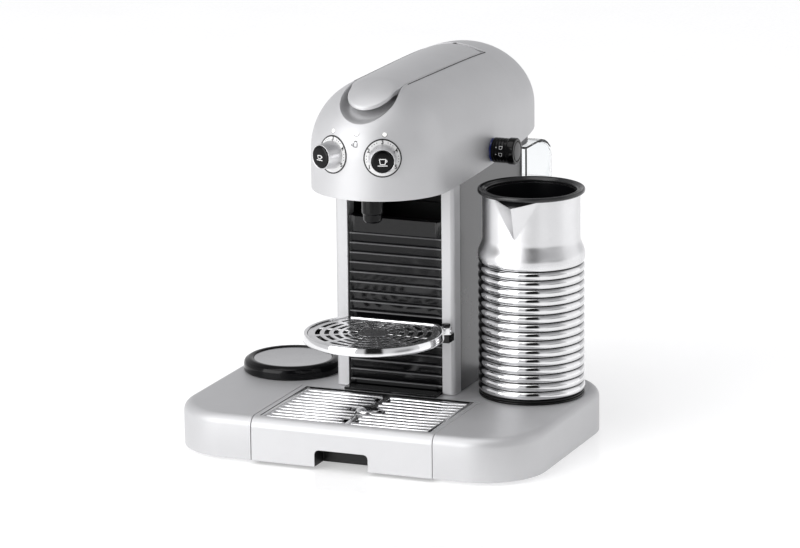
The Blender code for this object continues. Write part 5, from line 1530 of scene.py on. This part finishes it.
class MACHINE_OT_side_knob(bpy.types.Operator):
    """Frother knob on the right side: ribbed black body, grey push button, blue light at its foot"""

    bl_idname = "machine.side_knob"
    bl_label = "Frother Knob"

    def execute(self, context):
        looks = context.scene.machine_looks
        start = Vector((HEAD_HALF, middle("frother_knob").y, middle("frother_knob").z))
        out = (1, 0, 0)
        r, flange, length = 11.5 * MM, 12.3 * MM, high("frother_knob").x - HEAD_HALF
        glow = tuple(looks.indicator)
        light = finish(
            "blue_lens", glow, 0.15, spread=0.04, bump=0.01, emission_color=(*glow, 1), emission_strength=0.12
        )
        ring = rounded(
            [(5.4 * MM, 0.3 * MM), (11 * MM, 0.3 * MM), (10.6 * MM, 1.8 * MM), (5.4 * MM, 1.8 * MM)],
            0.3 * MM, 3, True
        )
        mesh = turned_mesh("knob_light", ring, start, out, 80, closed=True)
        smooth(new_piece("knob_light", mesh, light, "machine", "frother_light"))
        outline = [
            (3.3 * MM, length - 5.2 * MM), (9.1 * MM, length - 5.2 * MM), (9.1 * MM, length - 0.4 * MM)
        ]
        outline += [(9.5 * MM, length), (flange - 0.8 * MM, length), (flange, length - 0.8 * MM)]
        outline += [(flange, length - 6.4 * MM), (r, length - 7.2 * MM)]
        for x in (14.0, 11.0, 8.0, 5.0):
            outline += [(r, x * MM), (r - 0.35 * MM, (x - 0.3) * MM), (r, (x - 0.6) * MM)]
        outline += [(r, 2.2 * MM), (5 * MM, 2.2 * MM), (5 * MM, -9 * MM), (3.3 * MM, -9 * MM)]
        mesh = turned_mesh("side_knob_body", rounded(outline, 0.3 * MM, 3, True), start, out, 96, closed=True)
        smooth(new_piece("side_knob_body", mesh, black_gloss(), "side_knob", "frother_knob"))
        top = length + 0.6 * MM
        crown = [(q, top - 0.4 * MM * (q / (8.8 * MM)) ** 2) for q in np.linspace(0, 8.2 * MM, 8)]
        outline = crown + [(8.7 * MM, top - 0.8 * MM), (8.8 * MM, top - 4 * MM), (3 * MM, top - 4 * MM)]
        outline += [(3 * MM, -9 * MM), (0, -9 * MM)]
        mesh = turned_mesh("side_button", outline, start, out, 80)
        grey = finish("grey_button", (0.045, 0.045, 0.047), 0.3, 0.2, spread=0.06, bump=0.03)
        smooth(new_piece("side_button", mesh, grey, "side_button", "frother_button"))

        def wrap(u, v, lift):
            u, v = np.asarray(u, float), np.asarray(v, float)
            turn = v / r + math.radians(8)
            x = start.x + u
            return np.stack(
                [x, start.y - (r + lift) * np.cos(turn), start.z + (r + lift) * np.sin(turn)], axis=-1
            )

        strokes = []
        for v in (3.2 * MM, -3.2 * MM):
            box = np.array([(10, 1.3), (13.2, 1.3), (12.7, -1.5), (10.5, -1.5), (10, 1.3)]) * MM + [0, v]
            strokes += [
                np.column_stack([np.linspace(a[0], b[0], 4), np.linspace(a[1], b[1], 4)]) for a,
                b in zip(box, box[1:])
            ]
            strokes.append(circle_line(7.2 * MM, v, 0.35 * MM))
        mesh = ribbons_mesh("side_icons", strokes, 0.45 * MM, 0.06 * MM, wrap)
        new_piece("side_icons", mesh, ink("icon_white", (0.85, 0.85, 0.85)), "side_knob")
        return {"FINISHED"}


class MACHINE_OT_spout(bpy.types.Operator):
    """Coffee spout under the head"""

    bl_idname = "machine.spout"
    bl_label = "Coffee Spout"

    def execute(self, context):
        node = "coffee_spout"
        start, end = low(node), high(node)
        centre = middle(node)
        r = end.x
        rim = HEAD_RIM + 0.7 * MM
        outline = [
            (3 * MM, end.z), (r - 1 * MM, end.z), (r - 1 * MM, rim), (r, rim - 0.2 * MM), (
                r, start.z + 9 * MM
            ),
            (r - 1.2 * MM, start.z + 7.5 * MM), (r - 1.4 * MM, start.z + 2 * MM), (r - 3.2 * MM, start.z),
            (4.2 * MM, start.z), (3 * MM, start.z + 2 * MM),
        ]
        mesh = turned_mesh(
            "spout", rounded(outline, 0.7 * MM, 4, True), (0, centre.y, 0), steps=80, closed=True
        )
        smooth(new_piece("spout", mesh, black_gloss(), "machine", node))
        return {"FINISHED"}


# ---- milk frother --------------------------------------------------------------------------------------


def sleeve_radius(z, bottom, ribs, depth):
    """Outer radius up the jug: half-round ribs, a plain band, an eased shoulder, then the neck."""
    widest, neck = high("jug_sleeve").x - JUG.x, JUG_NECK
    f = (z - bottom) / RIB_PITCH
    wave = np.abs(np.sin(np.pi * f)) ** 0.55
    ribbed = widest - depth * (1 - wave)
    band = bottom + ribs * RIB_PITCH
    shoulder = widest + (neck - widest) * ease((z - band - 8.0 * MM) / (15 * MM))
    return np.where(
        z < band, ribbed, np.minimum(shoulder, widest - depth * np.exp(-((z - band) / (1.2 * MM))))
    )


def lip_points(z, radius, top, drop, reach, turn):
    """Radii and angles of one ring with the folded lip in it.

    A straight line in polar form runs from the sleeve at angle w to the tip at angle 0 on each side:
    r(a) = r0 rt sin w / (r0 sin(w - a) + rt sin a), where w and rt grow from the apex to the rim.
    """
    share = float(np.clip((z - (top - drop)) / drop, 0, 1))
    w = max(turn * share, 1e-3)
    tip = radius + reach * share
    inner = np.linspace(-1, 1, 33) * w
    a = np.abs(inner)
    folded = radius * tip * math.sin(w) / (radius * np.sin(w - a) + tip * np.sin(a) + 1e-12)
    outer = np.linspace(w, 2 * np.pi - w, 129)[1:-1]
    return np.concatenate([folded, np.full(len(outer), radius)]), np.concatenate([inner, outer])


class MACHINE_OT_jug(bpy.types.Operator):
    """Milk jug: polished ribbed sleeve with a folded lip, dark pot, soft rim, foot and dock"""

    bl_idname = "machine.jug"
    bl_label = "Milk Jug"

    def execute(self, context):
        looks = context.scene.machine_looks
        x, y = JUG.x, JUG.y
        bottom, top = low("jug_sleeve").z, high("jug_sleeve").z
        ribs, depth = looks.jug_ribs, looks.jug_rib_depth
        band = bottom + ribs * RIB_PITCH
        z = np.concatenate(
            [np.linspace(bottom, band, ribs * 12 + 1), np.linspace(band, band + 22 * MM, 34)[1:]]
        )
        z = np.concatenate([z, np.linspace(z[-1], top, 44)[1:]])
        radius = sleeve_radius(z, bottom, ribs, depth)
        drop, reach, turn = 35 * MM, 8.8 * MM, math.radians(28)
        rows = []
        for level, r in zip(z, radius):
            rr, a = lip_points(level, float(r), top, drop, reach, turn)
            rows.append(
                np.column_stack([x + rr * np.sin(a), y - rr * np.cos(a), self.dip(a, level, top, drop, turn)])
            )
        wall = 0.9 * MM
        for level in np.linspace(top, band + 24 * MM, 30):
            rr, a = lip_points(level, JUG_NECK, top, drop, reach, turn)
            rr = rr - wall * (1 + 0.8 * np.exp(-((a / 0.12) ** 2)))
            rows.append(
                np.column_stack([x + rr * np.sin(a), y - rr * np.cos(a), self.dip(a, level, top, drop, turn)])
            )
        foot = rows[-1].copy()
        foot[:, 2] = bottom
        rows.append(foot)
        mesh = grid_mesh("jug_skin", rows, closed_u=True, closed_v=True)
        smooth(new_piece("jug_skin", mesh, polished_steel(), "jug", "jug_sleeve"), 32)

        at = (x, y, 0)
        pot_r = high("jug_pot").x - x
        floor, low_z = low("jug_pot").z + 4 * MM, low("jug_pot").z
        pot = rounded(
            [(0, floor + 8 * MM), (2.4 * MM, floor + 8 * MM), (3.4 * MM, floor), (pot_r - 1.2 * MM, floor),
             (pot_r - 1.2 * MM, top), (pot_r, top), (pot_r, low_z), (0, low_z)], 3 * MM, 6,
        )
        lining = finish(
            "dark_nonstick", (0.004, 0.004, 0.005), 0.30, spread=0.12, grain=4000, bump=0.08,
            specular_ior_level=0.2
        )
        mesh = turned_mesh("jug_lining", pot, at, steps=128)
        smooth(new_piece("jug_lining", mesh, lining, "jug", "jug_pot"))

        rim_low, rim_top = low("jug_rim").z, high("jug_rim").z
        outer, mouth = 48.5 * MM, pot_r - 1.2 * MM
        ring = [
            (mouth, rim_low), (mouth, rim_top - 2.2 * MM), (mouth + 1.2 * MM, rim_top - 1.0 * MM),
            (mouth + 2.2 * MM, rim_top - 1.7 * MM), (mouth + 3.2 * MM, rim_top - 0.3 * MM),
            (mouth + 4.0 * MM, rim_top - 1.2 * MM), (outer - 1.6 * MM, rim_top), (
                outer - 0.4 * MM, rim_top - 0.3 * MM
            ),
            (outer, rim_top - 1.4 * MM), (outer, rim_low + 1.2 * MM), (outer - 1.4 * MM, rim_low),
        ]
        mesh = turned_mesh("rim_ring", rounded(ring, 0.45 * MM, 4, True), at, steps=128, closed=True)
        seal = finish("soft_black_seal", (0.015, 0.015, 0.016), 0.2, spread=0.10, grain=2500, bump=0.03)
        lip_lid = self.lip_fill(x, y, rim_low - 0.4 * MM, drop, reach, turn)
        smooth(new_piece("jug_seal", joined("jug_seal", [mesh, lip_lid]), seal, "jug", "jug_rim"))

        for node, mat, name in (
            ("jug_base", black_satin(), "jug_foot"), ("frother_dock", black_gloss(), "dock_ring")
        ):
            a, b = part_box(node)
            r = (b.x - a.x) / 2
            profile = rounded([(0, a.z), (r, a.z), (r, b.z), (0, b.z)], 0.5 * MM, 3)
            mesh = turned_mesh(name, profile, at, steps=128)
            body = "jug" if node == "jug_base" else "machine"
            smooth(new_piece(name, mesh, mat, body, node))
        refined("whisk", brushed_steel(), 0.0, 60)
        return {"FINISHED"}

    def dip(self, a, level, top, drop, turn):
        """Heights of one ring: level, less a dip towards the lip's tip that grows to the rim."""
        share = min(max((level - (top - drop)) / drop, 0), 1)
        return level - 4.4 * MM * share**3 * np.clip(1 - np.abs(a) / turn, 0, 1)

    def lip_fill(self, x, y, level, drop, reach, turn):
        """The dark web inside the lip: from under the rim down to just inside the lip's edge."""
        rr, a = lip_points(level, JUG_NECK, level, drop, reach, turn)
        inside = np.abs(a) <= turn + 1e-6
        rr, a = rr[inside] - 1.1 * MM, a[inside]
        rings = []
        for shift in (0.0, -0.8 * MM):
            outer_z = self.dip(a, level, level, drop, turn) - 0.5 * MM + shift
            outer = np.column_stack([x + rr * np.sin(a), y - rr * np.cos(a), outer_z])
            back = 42.6 * MM
            inner = np.column_stack(
                [x + back * np.sin(a), y - back * np.cos(a), np.full(len(a), level + shift)]
            )
            rings.append(np.vstack([outer, inner[::-1]]))
        return grid_mesh("lip_web", rings[::-1], closed_v=True, ends=True)


# ---- water tank and inner parts ------------------------------------------------------------------------


class MACHINE_OT_tank(bpy.types.Operator):
    """Clear water tank with its curved lid and valve"""

    bl_idname = "machine.tank"
    bl_label = "Water Tank"

    def execute(self, context):
        refined("water_tank", clear_plastic(), 0.4 * MM, 32)
        refined("tank_lid", clear_plastic(), 0.4 * MM, 32)
        refined("tank_valve", black_satin(), 0.4 * MM)
        return {"FINISHED"}


class MACHINE_OT_inside(bpy.types.Operator):
    """Brew unit, boiler, pump, board, motor and heater inside the machine"""

    bl_idname = "machine.inside"
    bl_label = "Inner Parts"

    def execute(self, context):
        cast = finish("cast_aluminium", (0.60, 0.60, 0.61), 0.45, 1.0, spread=0.12, grain=900, bump=0.3)
        shell = finish("pump_shell", (0.62, 0.61, 0.56), 0.5, spread=0.1, bump=0.1)
        board = finish(
            "circuit_board", (0.02, 0.16, 0.06), 0.4, second=(0.03, 0.24, 0.10),
            spread=0.1, cloud=400, bump=0.1,
        )
        foil = finish("heater_foil", (0.55, 0.45, 0.26), 0.4, 0.8, spread=0.15, cloud=80, bump=0.2)
        motor = finish(
            "motor_steel", (0.35, 0.35, 0.36), 0.38, 1.0, spread=0.1, bump=0.08, brushed=(1, 1, 30)
        )
        plan = (
            ("brew_frame", black_satin(), 0.8), ("brew_piston", brushed_steel(), 0.4), ("boiler", cast, 1.0),
            ("pump", shell, 0.8), ("power_board", board, 0.2), ("frother_motor", motor, 0.6),
            ("cup_warmer_heater", foil, 0.3),
        )
        for node, mat, edge in plan:
            refined(node, mat, edge * MM)
        return {"FINISHED"}


# ---- studio --------------------------------------------------------------------------------------------


class MACHINE_OT_stage(bpy.types.Operator):
    """Pale floor, soft studio light and the camera"""

    bl_idname = "machine.stage"
    bl_label = "Studio"

    def execute(self, context):
        self.floor()
        self.world(context.scene)
        self.lamp("key", (-1.6, -2.7, 0.9), 2.6, 70)
        self.lamp("side", (2.6, 1.6, 1.3), 2.8, 10)
        self.lamp("top", (-0.5, -1.0, 2.8), 2.4, 34)
        self.camera(context.scene)
        return {"FINISHED"}

    def floor(self):
        turn = np.linspace(0, 2 * np.pi, 65)[:-1]
        radii = np.array([0, 0.6, 1.2, 2.5, 6.0])
        points = np.stack(
            [radii[:, None] * np.cos(turn), radii[:, None] * np.sin(turn), np.zeros((len(radii), len(turn)))],
            axis=-1,
        )
        mesh = grid_mesh("floor", points, closed_v=True)
        if mesh.polygons[0].normal.z < 0:
            mesh.flip_normals()
        floor = bpy.data.objects.new("floor", mesh)
        bpy.context.scene.collection.objects.link(floor)
        mesh.materials.append(
            finish(
                "pale_floor", (0.88, 0.88, 0.88), 0.06, spread=0.04, cloud=3, grain=200, bump=0.0,
                emission_color=(1, 1, 1, 1), emission_strength=0.42,
            )
        )

    def world(self, scene):
        """A pale room: bright above, with two dark upright bands for the bright metal to show."""
        world = bpy.data.worlds.new("studio")
        world.use_nodes = True
        scene.world = world
        tree = world.node_tree
        background = tree.nodes["Background"]
        place = tree.nodes.new("ShaderNodeTexCoord").outputs["Generated"]
        split = tree.nodes.new("ShaderNodeSeparateXYZ")
        tree.links.new(place, split.inputs[0])
        front = math_node(tree, "MULTIPLY", split.outputs["Y"], -1.0)
        turn = math_node(tree, "ARCTAN2", split.outputs["X"], front)
        rise = split.outputs["Z"]
        card = self.zone(tree, turn, 0.388, 0.30, 12.0)
        low_edge = math_node(tree, "MULTIPLY", math_node(tree, "SUBTRACT", rise, -0.05), 25.0, clamp=True)
        card = math_node(tree, "MULTIPLY", card, low_edge)
        flag = self.zone(tree, turn, 1.25, 0.4, 4.0)
        under = math_node(tree, "MULTIPLY", math_node(tree, "SUBTRACT", 0.3, rise), 5.0, clamp=True)
        flag = math_node(tree, "MULTIPLY", math_node(tree, "MULTIPLY", flag, under), 0.6)
        mask = math_node(tree, "MAXIMUM", card, flag)
        zenith = math_node(tree, "MULTIPLY", math_node(tree, "SUBTRACT", rise, 0.2), 1.6, clamp=True)
        walls = mix_colours(tree, zenith, (0.72, 0.72, 0.73, 1), (0.30, 0.30, 0.31, 1))
        room = mix_colours(tree, mask, walls, (0.015, 0.015, 0.015, 1))
        path = tree.nodes.new("ShaderNodeLightPath").outputs["Is Camera Ray"]
        seen = mix_colours(tree, path, room, (1.0, 1.0, 1.0, 1))
        tree.links.new(seen, background.inputs["Color"])
        background.inputs["Strength"].default_value = 1.0
        scene.view_settings.view_transform = "Standard"

    def zone(self, tree, turn, middle_turn, half, sharpness):
        """A mask about one compass direction: (half - |turn - middle|) * sharpness, held to 0..1."""
        away = math_node(tree, "ABSOLUTE", math_node(tree, "SUBTRACT", turn, middle_turn))
        return math_node(tree, "MULTIPLY", math_node(tree, "SUBTRACT", half, away), sharpness, clamp=True)

    def lamp(self, name, place, size, power):
        light = bpy.data.lights.new(name, "AREA")
        light.shape = "SQUARE"
        light.size = size
        light.energy = power
        lamp = bpy.data.objects.new(name, light)
        lamp.location = place
        aim = Vector((0, 0, 0.15)) - Vector(place)
        lamp.rotation_euler = aim.to_track_quat("-Z", "Y").to_euler()
        bpy.context.scene.collection.objects.link(lamp)

    def camera(self, scene):
        target, distance = Vector((0.0322, -0.1293, 0.1697)), 4.0
        azimuth, elevation, roll = math.radians(22.21), math.radians(13.66), math.radians(-0.57)
        back = Vector(
            (
                math.sin(azimuth) * math.cos(elevation), -math.cos(azimuth) * math.cos(elevation),
                math.sin(elevation)
            )
        )
        data = bpy.data.cameras.new("camera")
        data.lens = 202.5
        data.sensor_width = 36.0
        data.clip_end = 50
        camera = bpy.data.objects.new("camera", data)
        turn = Matrix.Rotation(azimuth, 4, "Z") @ Matrix.Rotation(math.pi / 2 - elevation, 4, "X")
        camera.matrix_world = Matrix.Translation(target + back * distance) @ turn @ Matrix.Rotation(
            roll, 4, "Z"
        )
        scene.collection.objects.link(camera)
        scene.camera = camera


class MACHINE_PT_panel(bpy.types.Panel):
    """Lists the machine's sizes, colours and pieces"""

    bl_idname = "MACHINE_PT_panel"
    bl_label = "Pod Coffee Machine"
    bl_space_type = "VIEW_3D"
    bl_region_type = "UI"
    bl_category = "Machine"

    def draw(self, context):
        looks = context.scene.machine_looks
        for name in MachineLooks.__annotations__:
            self.layout.prop(looks, name)
        for operator in PIECES:
            self.layout.operator(operator.bl_idname)


PIECES = (
    MACHINE_OT_base,
    MACHINE_OT_warmer,
    MACHINE_OT_drawer,
    MACHINE_OT_grid,
    MACHINE_OT_column,
    MACHINE_OT_container,
    MACHINE_OT_support,
    MACHINE_OT_head,
    MACHINE_OT_lever,
    MACHINE_OT_bay,
    MACHINE_OT_dials,
    MACHINE_OT_lights,
    MACHINE_OT_side_knob,
    MACHINE_OT_spout,
    MACHINE_OT_jug,
    MACHINE_OT_tank,
    MACHINE_OT_inside,
    MACHINE_OT_stage,
)
CLASSES = (MachineLooks, *PIECES, MACHINE_PT_panel)


def register():
    for cls in CLASSES:
        bpy.utils.register_class(cls)
    bpy.types.Scene.machine_looks = bpy.props.PointerProperty(type=MachineLooks)


def unregister():
    del bpy.types.Scene.machine_looks
    for cls in reversed(CLASSES):
        bpy.utils.unregister_class(cls)


def main():
    register()
    for operator in PIECES:
        getattr(bpy.ops.machine, operator.bl_idname.split(".")[1])()


if __name__ == "__main__":
    main()
